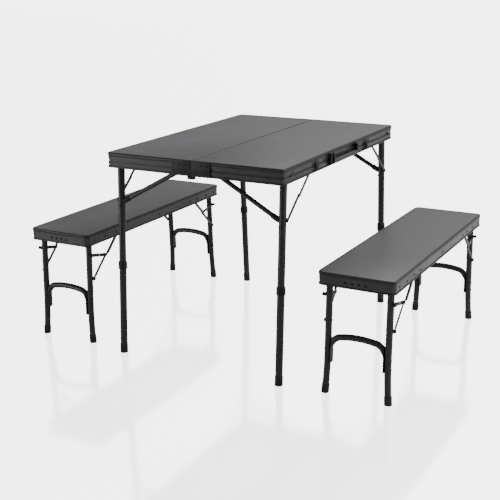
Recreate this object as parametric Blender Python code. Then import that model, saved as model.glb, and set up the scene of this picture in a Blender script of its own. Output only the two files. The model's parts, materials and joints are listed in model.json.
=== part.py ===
"""Folding picnic table with two loose benches, all standing on the floor.

Frame: metres, +Z up, origin on the floor under the middle of the table.
X runs across the table towards the right bench, Y runs along the fold seam.
The table is a hinged case in two halves. Each half has a leg at either end.
"""

import math

import bmesh
import bpy
from mathutils import Matrix, Vector

# Table, opened flat.
TABLE_WIDTH = 0.650
TABLE_LENGTH = 0.900
TABLE_HEIGHT = 0.700
TABLE_RIM_HEIGHT = 0.050
TABLE_CORNER = 0.015
SEAM_GAP = 0.0008

# Bench.
BENCH_WIDTH = 0.250
BENCH_LENGTH = 0.885
BENCH_HEIGHT = 0.400
BENCH_RIM_HEIGHT = 0.042
BENCH_CORNER = 0.018
BENCH_CENTRE_X = 0.555

# Rim section, the same for the table halves and the benches.
RIM_WALL = 0.0025
RIM_BORDER = 0.0035
LEDGE_WIDTH = 0.0090
LEDGE_THICKNESS = 0.0015
BOARD_THICKNESS = 0.0077
BOARD_RECESS = 0.0005
PIN_HOLE_REACH = 0.005
WINDOW_OVERLAP = 0.001
GAP = 0.0003

# Table legs: an upper tube with a collar and a lower tube that plugs into it.
LEG_X = 0.300
LEG_PIVOT_Y = 0.4020
LEG_PIVOT_DROP = 0.026
LEG_SPLAY = math.radians(3.2)
UPPER_LEG_RADIUS = 0.0120
UPPER_LEG_BORE = 0.0104
UPPER_LEG_LENGTH = 0.375
COLLAR_RADIUS = 0.0150
COLLAR_HEIGHT = 0.027
COLLAR_OVERHANG = 0.0020
SHOULDER_DROP = 0.0025
LOWER_LEG_RADIUS = 0.0122
SPIGOT_RADIUS = 0.0099
SPIGOT_BORE = 0.0083
SPIGOT_LENGTH = 0.112
SPIGOT_ROOT = 0.010
TABLE_FOOT_RADIUS = 0.0134
FOOT_HEIGHT = 0.030
FOOT_SOLE = 0.004
FLOOR_TRIM = 0.002
FLOOR_BLOCK = 0.030
CROSS_TUBE_RADIUS = 0.0105
CROSS_TUBE_BORE = 0.0090
CROSS_TUBE_STOP_X = 0.018
CROSS_BORE_INSET = 0.003
TABLE_PIN_RADIUS = 0.0040

# Diagonal brace from the cross tube down to the leg.
BRACE_RADIUS = 0.00775
BRACE_BORE = 0.0065
BRACE_SLOPE = math.radians(28.8)
BRACE_JOINT_DROP = 0.1480
BRACE_TOP_X = 0.0650

# Bench legs, arch and pivots.
BENCH_LEG_X = 0.0985
BENCH_PIVOT_Y = 0.402
BENCH_PIVOT_DROP = 0.024
BENCH_SPLAY = math.radians(2.3)
BENCH_LEG_RADIUS = 0.0108
BENCH_LEG_BORE = 0.0093
BENCH_FLARE = 0.006
BENCH_FLARE_START = 0.250
BENCH_FLARE_POWER = 1.6
BENCH_FOOT_LEAN = 0.0012
BENCH_FOOT_RADIUS = 0.0125
BENCH_CROSS_RADIUS = 0.0090
BENCH_CROSS_BORE = 0.0075
BENCH_PIN_RADIUS = 0.0035
ARCH_RADIUS = 0.0102
ARCH_BORE = 0.0089
ARCH_CROWN_DROP = 0.184
ARCH_END_DROP = 0.276
ARCH_BEND = 0.036

# Folding stays: two flat links that lie side by side at the middle joint.
LINK_THICKNESS = 0.0020
TABLE_LINK_WIDTH = 0.0120
BENCH_LINK_WIDTH = 0.0110
TABLE_LINK_PLANES = (0.3153, 0.3177)
BENCH_LINK_PLANES = (0.1116, 0.1140)
TABLE_STAY_FOOT = (0.003, 0.140)
TABLE_STAY_HEAD = (0.172, 0.004)
BENCH_STAY_FOOT = (0.006, 0.142)
BENCH_STAY_HEAD = (0.158, 0.006)

# Case hinge, latches and carrying handle.
HINGE_PLATE_WIDTH = 0.072
HINGE_PLATE_THICKNESS = 0.0022
KNUCKLE_RADIUS = 0.0050
KNUCKLE_LENGTH = 0.0115
FOLD_AXIS_DROP = 0.0555
HINGE_ARM_WIDTH = 0.0070
HINGE_ARM_HALF = 0.0045
HINGE_TONGUE_HALF = 0.0040
HINGE_TONGUE_RISE = 0.0040
HINGE_WEB_HALF = 0.0020
LATCH_Y = (-0.222, 0.190)
LATCH_SIZE = (0.0060, 0.0260, 0.0300)
LATCH_PIVOT_DROP = 0.0440
LATCH_BARREL_OVERHANG = 0.0020
HANDLE_ENDS_Y = (-0.116, 0.084)
HANDLE_GRIP_RADIUS = 0.0075
HANDLE_ARM = 0.0080
HANDLE_ARM_HALF = 0.0040
HANDLE_BOSS_RADIUS = 0.0060
HANDLE_BOSS_OVERHANG = 0.0040
HANDLE_PIVOT_DROP = 0.0120
HANDLE_GRIP_DROP = 0.0360
HANDLE_STANDOFF = 0.0088

ROUND_SIDES = 16
SMALL_SIDES = 12
CORNER_STEPS = 5
CUT_MARGIN = 0.020


def clear_scene():
    """Remove every object of the open scene."""
    for item in list(bpy.data.objects):
        bpy.data.objects.remove(item, do_unlink=True)


def make_collection(name):
    """A new collection under the scene's own."""
    collection = bpy.data.collections.new(name)
    bpy.context.scene.collection.children.link(collection)
    return collection


def make_material(name, colour, roughness, metallic):
    """A plain Principled BSDF material."""
    material = bpy.data.materials.new(name)
    material.use_nodes = True
    shader = material.node_tree.nodes["Principled BSDF"]
    shader.inputs["Base Color"].default_value = (*colour, 1.0)
    shader.inputs["Roughness"].default_value = roughness
    shader.inputs["Metallic"].default_value = metallic
    return material


clear_scene()
SET_PARTS = make_collection("picnic_table_set")
CUTTERS = make_collection("cutters")


def place(item, parent=None, collection=None):
    """Put an object into its collection and under its parent."""
    (collection or SET_PARTS).objects.link(item)
    item.parent = parent
    return item


def finish_mesh(item, material):
    """Give a mesh object its material, smooth round faces and sharp edges."""
    item.data.materials.clear()
    item.data.materials.append(material)
    item.data.shade_smooth()
    item.data.set_sharp_from_angle(angle=math.radians(35.0))
    return item


def pivot_empty(name, location, tilt=0.0, parent=None):
    """An empty on a joint axis, turned by tilt about X."""
    empty = bpy.data.objects.new(name, None)
    empty.empty_display_size = 0.03
    place(empty, parent)
    empty.location = location
    empty.rotation_euler = (tilt, 0.0, 0.0)
    return empty


def box(name, low, high, parent=None):
    """A box between two corners, in any order."""
    shape = bmesh.new()
    bmesh.ops.create_cube(shape, size=1.0)
    size = Vector([abs(b - a) for a, b in zip(low, high)])
    centre = (Vector(low) + Vector(high)) / 2
    bmesh.ops.scale(shape, vec=size, verts=shape.verts)
    bmesh.ops.translate(shape, vec=centre, verts=shape.verts)
    mesh = bpy.data.meshes.new(name)
    shape.to_mesh(mesh)
    shape.free()
    return place(bpy.data.objects.new(name, mesh), parent)


def rod(name, start, end, radius, parent=None, sides=ROUND_SIDES):
    """A straight round bar between two points."""
    start = Vector(start)
    end = Vector(end)
    axis = end - start
    turn = Vector((0.0, 0.0, 1.0)).rotation_difference(axis).to_matrix().to_4x4()
    shape = bmesh.new()
    bmesh.ops.create_cone(
        shape,
        cap_ends=True,
        segments=sides,
        radius1=radius,
        radius2=radius,
        depth=axis.length,
        matrix=Matrix.Translation((start + end) / 2) @ turn,
    )
    mesh = bpy.data.meshes.new(name)
    shape.to_mesh(mesh)
    shape.free()
    return place(bpy.data.objects.new(name, mesh), parent)


def mesh_from_curve(item):
    """Turn a curve object into a welded mesh object in the same place."""
    bpy.context.view_layer.update()
    evaluated = item.evaluated_get(bpy.context.evaluated_depsgraph_get())
    mesh = bpy.data.meshes.new_from_object(evaluated)
    shape = bmesh.new()
    shape.from_mesh(mesh)
    bmesh.ops.remove_doubles(shape, verts=shape.verts, dist=0.00001)
    bmesh.ops.recalc_face_normals(shape, faces=shape.faces)
    shape.to_mesh(mesh)
    shape.free()
    solid = bpy.data.objects.new(item.name + "_solid", mesh)
    place(solid, item.parent)
    solid.matrix_local = item.matrix_local.copy()
    name = item.name
    bpy.data.objects.remove(item, do_unlink=True)
    solid.name = name
    return solid


def bent_tube(name, points, radius, parent=None):
    """A round tube along a path of points, closed at both ends."""
    curve = bpy.data.curves.new(name, "CURVE")
    curve.dimensions = "3D"
    curve.bevel_depth = radius
    curve.bevel_resolution = 4
    curve.use_fill_caps = True
    spline = curve.splines.new("POLY")
    spline.points.add(len(points) - 1)
    for point, place_at in zip(spline.points, points):
        point.co = (*place_at, 1.0)
    return mesh_from_curve(place(bpy.data.objects.new(name, curve), parent))


def outline_curve(name, outline, thickness, parent=None):
    """A flat plate with the given outline, centred on its own XY plane."""
    curve = bpy.data.curves.new(name, "CURVE")
    curve.dimensions = "2D"
    curve.fill_mode = "BOTH"
    curve.extrude = thickness / 2
    spline = curve.splines.new("POLY")
    spline.points.add(len(outline) - 1)
    spline.use_cyclic_u = True
    for point, (x, y) in zip(spline.points, outline):
        point.co = (x, y, 0.0, 1.0)
    return place(bpy.data.objects.new(name, curve), parent)


def arc(centre, radius, start, end, steps):
    """Points on an arc in a plane, from one angle to another in degrees."""
    angles = [math.radians(start + (end - start) * i / steps) for i in range(steps + 1)]
    return [(centre[0] + radius * math.cos(a), centre[1] + radius * math.sin(a)) for a in angles]


def rounded_rectangle(low, high, inner_radius, outer_radius, outer_side):
    """Outline with outer_radius at the corners on outer_side (+1, -1, or 0 for both)."""
    right = outer_radius if outer_side >= 0 else inner_radius
    left = outer_radius if outer_side <= 0 else inner_radius
    corners = (
        (high[0] - right, high[1] - right, right, 0),
        (low[0] + left, high[1] - left, left, 90),
        (low[0] + left, low[1] + left, left, 180),
        (high[0] - right, low[1] + right, right, 270),
    )
    outline = []
    for x, y, radius, turn in corners:
        if radius > 0.0:
            outline += arc((x, y), radius, turn, turn + 90, CORNER_STEPS)
        else:
            outline.append((x, y))
    return outline


def slab(name, outline, bottom, top):
    """A flat plate with an outline, standing between two heights."""
    plate = outline_curve(name, outline, top - bottom)
    plate.location = (0.0, 0.0, (bottom + top) / 2)
    return mesh_from_curve(plate)


def combine(target, tools, operation):
    """Add or cut tool objects with exact Boolean modifiers, and hide the tools."""
    for tool in tools:
        SET_PARTS.objects.unlink(tool)
        CUTTERS.objects.link(tool)
        tool.hide_render = True
        tool.display_type = "WIRE"
        modifier = target.modifiers.new(tool.name, "BOOLEAN")
        modifier.operation = operation
        modifier.solver = "EXACT"
        modifier.object = tool
    return target


def half_extents(side):
    """The low and high X of one table half."""
    inner = side * SEAM_GAP / 2
    outer = side * TABLE_WIDTH / 2
    return min(inner, outer), max(inner, outer)


def inset_half(side, inset, seam_inset):
    """The plan corners of a table half, moved in from its edges."""
    low_x, high_x = half_extents(side)
    half_length = TABLE_LENGTH / 2 - inset
    if side > 0:
        return (low_x + seam_inset, -half_length), (high_x - inset, half_length)
    return (low_x + inset, -half_length), (high_x - seam_inset, half_length)


def inset_bench(centre_x, inset):
    """The plan corners of a bench, moved in from its edges."""
    half_width = BENCH_WIDTH / 2 - inset
    half_length = BENCH_LENGTH / 2 - inset
    return (centre_x - half_width, -half_length), (centre_x + half_width, half_length)


def pin_holes(name, places, radius, reach):
    """Cutters for the pivot pins that pass through a rim's long sides."""
    holes = []
    for index, (x, y, z) in enumerate(places):
        start = (x - reach, y, z)
        end = (x + reach, y, z)
        holes.append(rod(f"{name}_hole_{index}", start, end, radius + GAP, sides=SMALL_SIDES))
    return holes


def board_heights(top):
    """Underside and upper face of a board whose rim ends at top."""
    upper = top - BOARD_RECESS
    return upper - BOARD_THICKNESS, upper


def table_rim(name, side, material):
    """Four-sided rim of one table half, open below, with a ledge for the board."""
    bottom = TABLE_HEIGHT - TABLE_RIM_HEIGHT
    pocket = board_heights(TABLE_HEIGHT)[0] - GAP
    ledge = pocket - LEDGE_THICKNESS

    def plan(inset, seam_inset):
        low, high = inset_half(side, inset, seam_inset)
        return rounded_rectangle(low, high, 0.0, TABLE_CORNER - inset, side)

    rim = slab(name, plan(0.0, 0.0), bottom, TABLE_HEIGHT)
    low, high = inset_half(side, RIM_BORDER, -CUT_MARGIN)
    outline = rounded_rectangle(low, high, 0.0, TABLE_CORNER - RIM_BORDER, side)
    board_room = slab(name + "_board_room", outline, pocket, TABLE_HEIGHT + CUT_MARGIN)
    hollow = slab(name + "_hollow", plan(RIM_WALL, RIM_WALL), bottom - CUT_MARGIN, ledge)
    opening = plan(LEDGE_WIDTH + RIM_WALL, LEDGE_WIDTH)
    window = slab(name + "_window", opening, ledge - CUT_MARGIN, pocket + WINDOW_OVERLAP)
    wall_x = side * (TABLE_WIDTH / 2 - RIM_WALL / 2)
    pivot_z = TABLE_HEIGHT - LEG_PIVOT_DROP
    places = [(wall_x, end * LEG_PIVOT_Y, pivot_z) for end in (-1, 1)]
    holes = pin_holes(name, places, TABLE_PIN_RADIUS, PIN_HOLE_REACH)
    combine(rim, [board_room, hollow, window] + holes, "DIFFERENCE")
    return finish_mesh(rim, material)


def table_board(name, side, material):
    """One half of the tabletop, resting in its rim."""
    bottom, top = board_heights(TABLE_HEIGHT)
    low, high = inset_half(side, RIM_BORDER + GAP, GAP)
    outline = rounded_rectangle(low, high, 0.0, TABLE_CORNER - RIM_BORDER - GAP, side)
    return finish_mesh(slab(name, outline, bottom, top), material)


def bench_rim(name, centre_x, material):
    """Rim of a bench, open below, with a ledge for the seat board."""
    bottom = BENCH_HEIGHT - BENCH_RIM_HEIGHT
    pocket = board_heights(BENCH_HEIGHT)[0] - GAP
    ledge = pocket - LEDGE_THICKNESS

    def plan(inset):
        low, high = inset_bench(centre_x, inset)
        return rounded_rectangle(low, high, 0.0, BENCH_CORNER - inset, 0)

    rim = slab(name, plan(0.0), bottom, BENCH_HEIGHT)
    board_room = slab(name + "_board_room", plan(RIM_BORDER), pocket, BENCH_HEIGHT + CUT_MARGIN)
    hollow = slab(name + "_hollow", plan(RIM_WALL), bottom - CUT_MARGIN, ledge)
    window = slab(name + "_window", plan(LEDGE_WIDTH), ledge - CUT_MARGIN, pocket + WINDOW_OVERLAP)
    pivot_z = BENCH_HEIGHT - BENCH_PIVOT_DROP
    offset = BENCH_WIDTH / 2 - RIM_WALL / 2
    places = [(centre_x + side * offset, end * BENCH_PIVOT_Y, pivot_z) for side in (-1, 1) for end in (-1, 1)]
    holes = pin_holes(name, places, BENCH_PIN_RADIUS, PIN_HOLE_REACH)
    combine(rim, [board_room, hollow, window] + holes, "DIFFERENCE")
    return finish_mesh(rim, material)


def bench_board(name, centre_x, material):
    """Seat board, resting in the bench rim."""
    bottom, top = board_heights(BENCH_HEIGHT)
    low, high = inset_bench(centre_x, RIM_BORDER + GAP)
    outline = rounded_rectangle(low, high, 0.0, BENCH_CORNER - RIM_BORDER - GAP, 0)
    return finish_mesh(slab(name, outline, bottom, top), material)


def floor_cutter(name, x, y):
    """A block under the floor that trims a leaning foot flat."""
    low = (x - FLOOR_BLOCK, y - FLOOR_BLOCK, -FLOOR_BLOCK)
    return box(name, low, (x + FLOOR_BLOCK, y + FLOOR_BLOCK, 0.0))


def upper_leg(name, side, pivot, material):
    """Upper leg tube with its cross tube, pivot pin and collar, in the pivot's frame."""
    leg = rod(name, (0.0, 0.0, UPPER_LEG_RADIUS), (0.0, 0.0, -UPPER_LEG_LENGTH), UPPER_LEG_RADIUS, pivot)
    inner_end = -side * (LEG_X - CROSS_TUBE_STOP_X)
    cross = rod(name + "_cross", (0.0, 0.0, 0.0), (inner_end, 0.0, 0.0), CROSS_TUBE_RADIUS, pivot)
    pin_end = side * (TABLE_WIDTH / 2 - LEG_X)
    pin = rod(name + "_pin", (0.0, 0.0, 0.0), (pin_end, 0.0, 0.0), TABLE_PIN_RADIUS, pivot, SMALL_SIDES)
    collar_bottom = -UPPER_LEG_LENGTH - COLLAR_OVERHANG
    collar_top = collar_bottom + COLLAR_HEIGHT
    collar = rod(name + "_collar", (0.0, 0.0, collar_bottom), (0.0, 0.0, collar_top), COLLAR_RADIUS, pivot)
    combine(leg, [cross, pin, collar], "UNION")
    bore_top = -UPPER_LEG_RADIUS
    bore_bottom = -UPPER_LEG_LENGTH - CUT_MARGIN
    bore = rod(name + "_bore", (0.0, 0.0, bore_top), (0.0, 0.0, bore_bottom), UPPER_LEG_BORE, pivot)
    cross_start = -side * (UPPER_LEG_RADIUS + CROSS_BORE_INSET)
    cross_bore = rod(
        name + "_cross_bore", (cross_start, 0.0, 0.0), (2 * inner_end, 0.0, 0.0), CROSS_TUBE_BORE, pivot
    )
    combine(leg, [bore, cross_bore], "DIFFERENCE")
    return finish_mesh(leg, material)


def lower_leg(name, side, end, pivot, material):
    """Lower leg tube with the spigot that plugs into the upper leg, and its foot."""
    shoulder = -UPPER_LEG_LENGTH - SHOULDER_DROP
    full = (TABLE_HEIGHT - LEG_PIVOT_DROP) / math.cos(LEG_SPLAY) + FLOOR_TRIM
    leg = rod(name, (0.0, 0.0, shoulder), (0.0, 0.0, -full + FOOT_SOLE), LOWER_LEG_RADIUS, pivot)
    spigot_top = shoulder + SPIGOT_LENGTH
    root = shoulder - SPIGOT_ROOT
    spigot = rod(name + "_spigot", (0.0, 0.0, root), (0.0, 0.0, spigot_top), SPIGOT_RADIUS, pivot)
    foot = rod(name + "_foot", (0.0, 0.0, -full + FOOT_HEIGHT), (0.0, 0.0, -full), TABLE_FOOT_RADIUS, pivot)
    combine(leg, [spigot, foot], "UNION")
    bore_top = spigot_top + CUT_MARGIN
    bore = rod(name + "_bore", (0.0, 0.0, bore_top), (0.0, 0.0, -full + FOOT_HEIGHT), SPIGOT_BORE, pivot)
    foot_y = end * (LEG_PIVOT_Y + (TABLE_HEIGHT - LEG_PIVOT_DROP) * math.tan(LEG_SPLAY))
    combine(leg, [bore, floor_cutter(name + "_floor", side * LEG_X, foot_y)], "DIFFERENCE")
    return finish_mesh(leg, material)


def brace(name, side, pivot, material):
    """Diagonal tube from under the cross tube to the leg, in the pivot's frame."""
    slope = math.tan(BRACE_SLOPE)
    top_x = LEG_X - BRACE_TOP_X
    bottom_x = UPPER_LEG_RADIUS + GAP + BRACE_RADIUS * math.sin(BRACE_SLOPE)
    top = (-side * top_x, 0.0, -BRACE_JOINT_DROP + top_x * slope)
    bottom = (-side * bottom_x, 0.0, -BRACE_JOINT_DROP + bottom_x * slope)
    tube = rod(name, top, bottom, BRACE_RADIUS, pivot, SMALL_SIDES)
    along = (Vector(bottom) - Vector(top)).normalized() * CUT_MARGIN
    bore = rod(name + "_bore", Vector(top) - along, Vector(bottom) + along, BRACE_BORE, pivot, SMALL_SIDES)
    combine(tube, [bore], "DIFFERENCE")
    return finish_mesh(tube, material)


def flat_link(name, length, width, material, pivot, facing):
    """A flat bar with round ends, lying in the YZ plane from its own pivot along facing."""
    half = width / 2
    outline = arc((length, 0.0), half, -90, 90, 6) + arc((0.0, 0.0), half, 90, 270, 6)
    link = outline_curve(name, outline, LINK_THICKNESS, pivot)
    upright = Matrix(((0, 0, 1), (1, 0, 0), (0, 1, 0)))
    link.rotation_euler = (Matrix.Rotation(facing, 3, "X") @ upright).to_euler()
    link.data.materials.append(material)
    return link


def stay_points(pivot_y, pivot_z, splay, foot, head):
    """Foot, middle and head of a stay at rest, as (distance outward along Y, height).

    The lower link is shorter by the distance between head and foot when the leg is
    folded level, so that the folded links lie back on each other.
    """
    inward, drop = foot
    foot_y = pivot_y - inward * math.cos(splay) + drop * math.sin(splay)
    foot_z = pivot_z - drop * math.cos(splay) - inward * math.sin(splay)
    head_y = pivot_y - head[0]
    head_z = pivot_z + head[1]
    span = math.hypot(foot_y - head_y, head_z - foot_z)
    folded = math.hypot(head[0] - drop, head[1] - inward)
    lower_length = (span - folded) / 2
    share = lower_length / span
    middle = (foot_y + (head_y - foot_y) * share, foot_z + (head_z - foot_z) * share)
    return (foot_y, foot_z), middle, (head_y, head_z)


def stay(prefix, end, planes, points, width, material):
    """The two links of one stay. Each lies in its own X plane, beside the other."""
    foot, middle, head = points
    lower_length = math.hypot(middle[0] - foot[0], middle[1] - foot[1])
    upper_length = math.hypot(head[0] - middle[0], head[1] - middle[1])
    rise = math.atan2(middle[1] - foot[1], foot[0] - middle[0])
    inward_angle = rise if end < 0 else math.pi - rise
    foot_pivot = pivot_empty(f"{prefix}_foot_pivot", (planes[0], end * foot[0], foot[1]))
    head_pivot = pivot_empty(f"{prefix}_head_pivot", (planes[1], end * head[0], head[1]))
    flat_link(f"{prefix}_lower", lower_length, width, material, foot_pivot, inward_angle)
    flat_link(f"{prefix}_upper", upper_length, width, material, head_pivot, inward_angle + math.pi)


def hinge_leaf(name, side, end, knuckle_order, material):
    """One leaf of a case hinge: face plate, tongue and its knuckle on the fold axis."""
    face = TABLE_LENGTH / 2 + GAP
    back = face + HINGE_PLATE_THICKNESS
    axis_z = TABLE_HEIGHT - FOLD_AXIS_DROP
    bottom = TABLE_HEIGHT - TABLE_RIM_HEIGHT
    inner_x = SEAM_GAP / 2 + GAP
    plate = box(
        name,
        (side * inner_x, end * face, bottom),
        (side * HINGE_PLATE_WIDTH, end * back, TABLE_HEIGHT - BOARD_RECESS),
    )
    start = back - knuckle_order * (KNUCKLE_LENGTH + GAP)
    stop = start - KNUCKLE_LENGTH
    arm_inner = KNUCKLE_RADIUS + GAP
    arm_outer = arm_inner + HINGE_ARM_WIDTH
    arm = box(
        name + "_arm",
        (side * arm_inner, end * back, axis_z - HINGE_ARM_HALF),
        (side * arm_outer, end * stop, axis_z + HINGE_ARM_HALF),
    )
    tongue = box(
        name + "_tongue",
        (side * arm_inner, end * face, axis_z - HINGE_TONGUE_HALF),
        (side * arm_outer, end * back, bottom + HINGE_TONGUE_RISE),
    )
    web = box(
        name + "_web",
        (0.0, end * start, axis_z - HINGE_WEB_HALF),
        (side * (arm_inner + HINGE_WEB_HALF), end * stop, axis_z + HINGE_WEB_HALF),
    )
    knuckle = rod(
        name + "_knuckle", (0.0, end * start, axis_z), (0.0, end * stop, axis_z), KNUCKLE_RADIUS
    )
    combine(plate, [tongue, arm, web, knuckle], "UNION")
    return finish_mesh(plate, material)


def latch(name, centre_y, material):
    """Draw latch lever folded up against the right rim, on its hinge barrel."""
    depth, width, height = LATCH_SIZE
    face = TABLE_WIDTH / 2 + GAP
    pivot_x = face + depth / 2
    pivot_z = TABLE_HEIGHT - LATCH_PIVOT_DROP
    pivot = pivot_empty(name + "_pivot", (pivot_x, centre_y, pivot_z))
    lever = box(name, (-depth / 2, -width / 2, 0.0), (depth / 2, width / 2, height), pivot)
    reach = width / 2 + LATCH_BARREL_OVERHANG
    barrel = rod(name + "_barrel", (0.0, -reach, 0.0), (0.0, reach, 0.0), depth / 2, pivot)
    combine(lever, [barrel], "UNION")
    return finish_mesh(lever, material)


def carry_handle(name, material):
    """Swinging bail handle on the right rim: two arms and a round grip."""
    near_y, far_y = HANDLE_ENDS_Y
    pivot_x = TABLE_WIDTH / 2 + HANDLE_STANDOFF
    pivot_z = TABLE_HEIGHT - HANDLE_PIVOT_DROP
    pivot = pivot_empty(name + "_pivot", (pivot_x, (near_y + far_y) / 2, pivot_z))
    half = (far_y - near_y) / 2
    reach = HANDLE_GRIP_DROP - HANDLE_PIVOT_DROP
    grip = rod(name, (0.0, -half, -reach), (0.0, half, -reach), HANDLE_GRIP_RADIUS, pivot)
    tools = []
    for end in (-1, 1):
        outer = end * half
        inner = end * (half - HANDLE_ARM)
        low = (-HANDLE_ARM_HALF, inner, 0.0)
        tools.append(box(f"{name}_arm_{end}", low, (HANDLE_ARM_HALF, outer, -reach), pivot))
        tip = (0.0, end * (half + HANDLE_BOSS_OVERHANG), 0.0)
        tools.append(rod(f"{name}_boss_{end}", tip, (0.0, inner, 0.0), HANDLE_BOSS_RADIUS, pivot))
    combine(grip, tools, "UNION")
    return finish_mesh(grip, material)


def bench_leg_length():
    """Length of a bench leg below its pivot, with a little to trim at the floor."""
    return (BENCH_HEIGHT - BENCH_PIVOT_DROP) / math.cos(BENCH_SPLAY) + FLOOR_TRIM


def bench_leg_path(side, top, bottom):
    """Centreline of a bench leg between two heights: straight, then flaring outward."""
    reach = bench_leg_length() - BENCH_FLARE_START
    steps = 4
    points = [(side * BENCH_LEG_X, 0.0, top), (side * BENCH_LEG_X, 0.0, -BENCH_FLARE_START)]
    for index in range(1, steps + 1):
        drop = BENCH_FLARE_START + (-bottom - BENCH_FLARE_START) * index / steps
        flare = BENCH_FLARE * ((drop - BENCH_FLARE_START) / reach) ** BENCH_FLARE_POWER
        points.append((side * (BENCH_LEG_X + flare), 0.0, -drop))
    return points


def bench_leg_frame(name, centre_x, end, pivot, material):
    """Two bench legs joined by their pivot tube, in the pivot's frame."""
    full = bench_leg_length()
    legs = []
    for side in (-1, 1):
        path = bench_leg_path(side, BENCH_LEG_RADIUS, -full + FOOT_SOLE)
        legs.append(bent_tube(f"{name}_leg_{side}", path, BENCH_LEG_RADIUS, pivot))
    pin_x = BENCH_WIDTH / 2
    frame = rod(name, (-BENCH_LEG_X, 0.0, 0.0), (BENCH_LEG_X, 0.0, 0.0), BENCH_CROSS_RADIUS, pivot)
    pin = rod(name + "_pin", (-pin_x, 0.0, 0.0), (pin_x, 0.0, 0.0), BENCH_PIN_RADIUS, pivot, SMALL_SIDES)
    foot_x = BENCH_LEG_X + BENCH_FLARE
    feet = []
    for side in (-1, 1):
        top = (side * (foot_x - BENCH_FOOT_LEAN), 0.0, -full + FOOT_HEIGHT)
        feet.append(rod(f"{name}_foot_{side}", top, (side * foot_x, 0.0, -full), BENCH_FOOT_RADIUS, pivot))
    combine(frame, [pin] + legs + feet, "UNION")
    cuts = []
    for side in (-1, 1):
        path = bench_leg_path(side, CUT_MARGIN, -full + FOOT_HEIGHT)
        cuts.append(bent_tube(f"{name}_bore_{side}", path, BENCH_LEG_BORE, pivot))
        foot_y = end * (BENCH_PIVOT_Y + (BENCH_HEIGHT - BENCH_PIVOT_DROP) * math.tan(BENCH_SPLAY))
        cuts.append(floor_cutter(f"{name}_floor_{side}", centre_x + side * foot_x, foot_y))
    cross = BENCH_LEG_X - BENCH_LEG_RADIUS / 2
    cuts.append(rod(name + "_cross_bore", (-cross, 0.0, 0.0), (cross, 0.0, 0.0), BENCH_CROSS_BORE, pivot))
    combine(frame, cuts, "DIFFERENCE")
    return finish_mesh(frame, material)


def arch_path(end_drop):
    """Centreline of the arch: up beside one leg, over the crown, down beside the other."""
    end_x = BENCH_LEG_X - BENCH_LEG_RADIUS - ARCH_RADIUS - GAP
    bend_x = end_x - ARCH_BEND
    half = [(end_x, -end_drop)] + arc((bend_x, -ARCH_CROWN_DROP - ARCH_BEND), ARCH_BEND, 0, 90, 5)
    left = [(-x, 0.0, z) for x, z in half]
    right = [(x, 0.0, z) for x, z in reversed(half)]
    return left + right


def bench_arch(name, pivot, material):
    """Bent tube that ties the two legs of a bench end together."""
    arch = bent_tube(name, arch_path(ARCH_END_DROP), ARCH_RADIUS, pivot)
    bore = bent_tube(name + "_bore", arch_path(ARCH_END_DROP + CUT_MARGIN), ARCH_BORE, pivot)
    combine(arch, [bore], "DIFFERENCE")
    return finish_mesh(arch, material)


def build_table(materials):
    """Both table halves with their legs, braces, stays, hinges, latches and handle."""
    points = stay_points(
        LEG_PIVOT_Y, TABLE_HEIGHT - LEG_PIVOT_DROP, LEG_SPLAY, TABLE_STAY_FOOT, TABLE_STAY_HEAD
    )
    for side, side_name in ((1, "right"), (-1, "left")):
        table_board(f"tabletop_{side_name}", side, materials["board"])
        table_rim(f"table_rim_{side_name}", side, materials["rim"])
        for end, end_name in ((-1, "near"), (1, "far")):
            label = f"{side_name}_{end_name}"
            place_at = (side * LEG_X, end * LEG_PIVOT_Y, TABLE_HEIGHT - LEG_PIVOT_DROP)
            pivot = pivot_empty(f"leg_pivot_{label}", place_at, end * LEG_SPLAY)
            upper_leg(f"upper_leg_{label}", side, pivot, materials["tube"])
            lower_leg(f"lower_leg_{label}", side, end, pivot, materials["tube"])
            brace(f"brace_{label}", side, pivot, materials["tube"])
            planes = [side * x for x in TABLE_LINK_PLANES]
            stay(f"stay_{label}", end, planes, points, TABLE_LINK_WIDTH, materials["link"])
            order = 0 if side > 0 else 1
            hinge_leaf(f"hinge_leaf_{label}", side, end, order, materials["plastic"])
    for name, centre_y in zip(("latch_near", "latch_far"), LATCH_Y):
        latch(name, centre_y, materials["plastic"])
    carry_handle("carry_handle", materials["plastic"])


def build_bench(bench_side, bench_name, materials):
    """One bench with its folding leg frames, arches and stays."""
    centre_x = bench_side * BENCH_CENTRE_X
    pivot_z = BENCH_HEIGHT - BENCH_PIVOT_DROP
    bench_board(f"seat_{bench_name}", centre_x, materials["board"])
    bench_rim(f"bench_rim_{bench_name}", centre_x, materials["rim"])
    points = stay_points(BENCH_PIVOT_Y, pivot_z, BENCH_SPLAY, BENCH_STAY_FOOT, BENCH_STAY_HEAD)
    for end, end_name in ((-1, "near"), (1, "far")):
        label = f"{bench_name}_{end_name}"
        place_at = (centre_x, end * BENCH_PIVOT_Y, pivot_z)
        pivot = pivot_empty(f"bench_pivot_{label}", place_at, end * BENCH_SPLAY)
        bench_leg_frame(f"bench_legs_{label}", centre_x, end, pivot, materials["tube"])
        bench_arch(f"bench_arch_{label}", pivot, materials["tube"])
        for side, side_name in ((1, "a"), (-1, "b")):
            planes = [centre_x + side * x for x in BENCH_LINK_PLANES]
            stay(f"bench_stay_{label}_{side_name}", end, planes, points, BENCH_LINK_WIDTH, materials["link"])


def build_set():
    """The table and both benches."""
    materials = {
        "board": make_material("grey_board", (0.165, 0.165, 0.168), 0.45, 0.0),
        "rim": make_material("dark_rim", (0.045, 0.046, 0.050), 0.42, 0.6),
        "tube": make_material("dark_tube", (0.030, 0.031, 0.034), 0.38, 0.5),
        "link": make_material("stay_steel", (0.100, 0.100, 0.105), 0.35, 0.9),
        "plastic": make_material("black_plastic", (0.012, 0.012, 0.013), 0.50, 0.0),
    }
    build_table(materials)
    build_bench(1, "right", materials)
    build_bench(-1, "left", materials)


build_set()
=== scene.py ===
import json
import math

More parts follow.
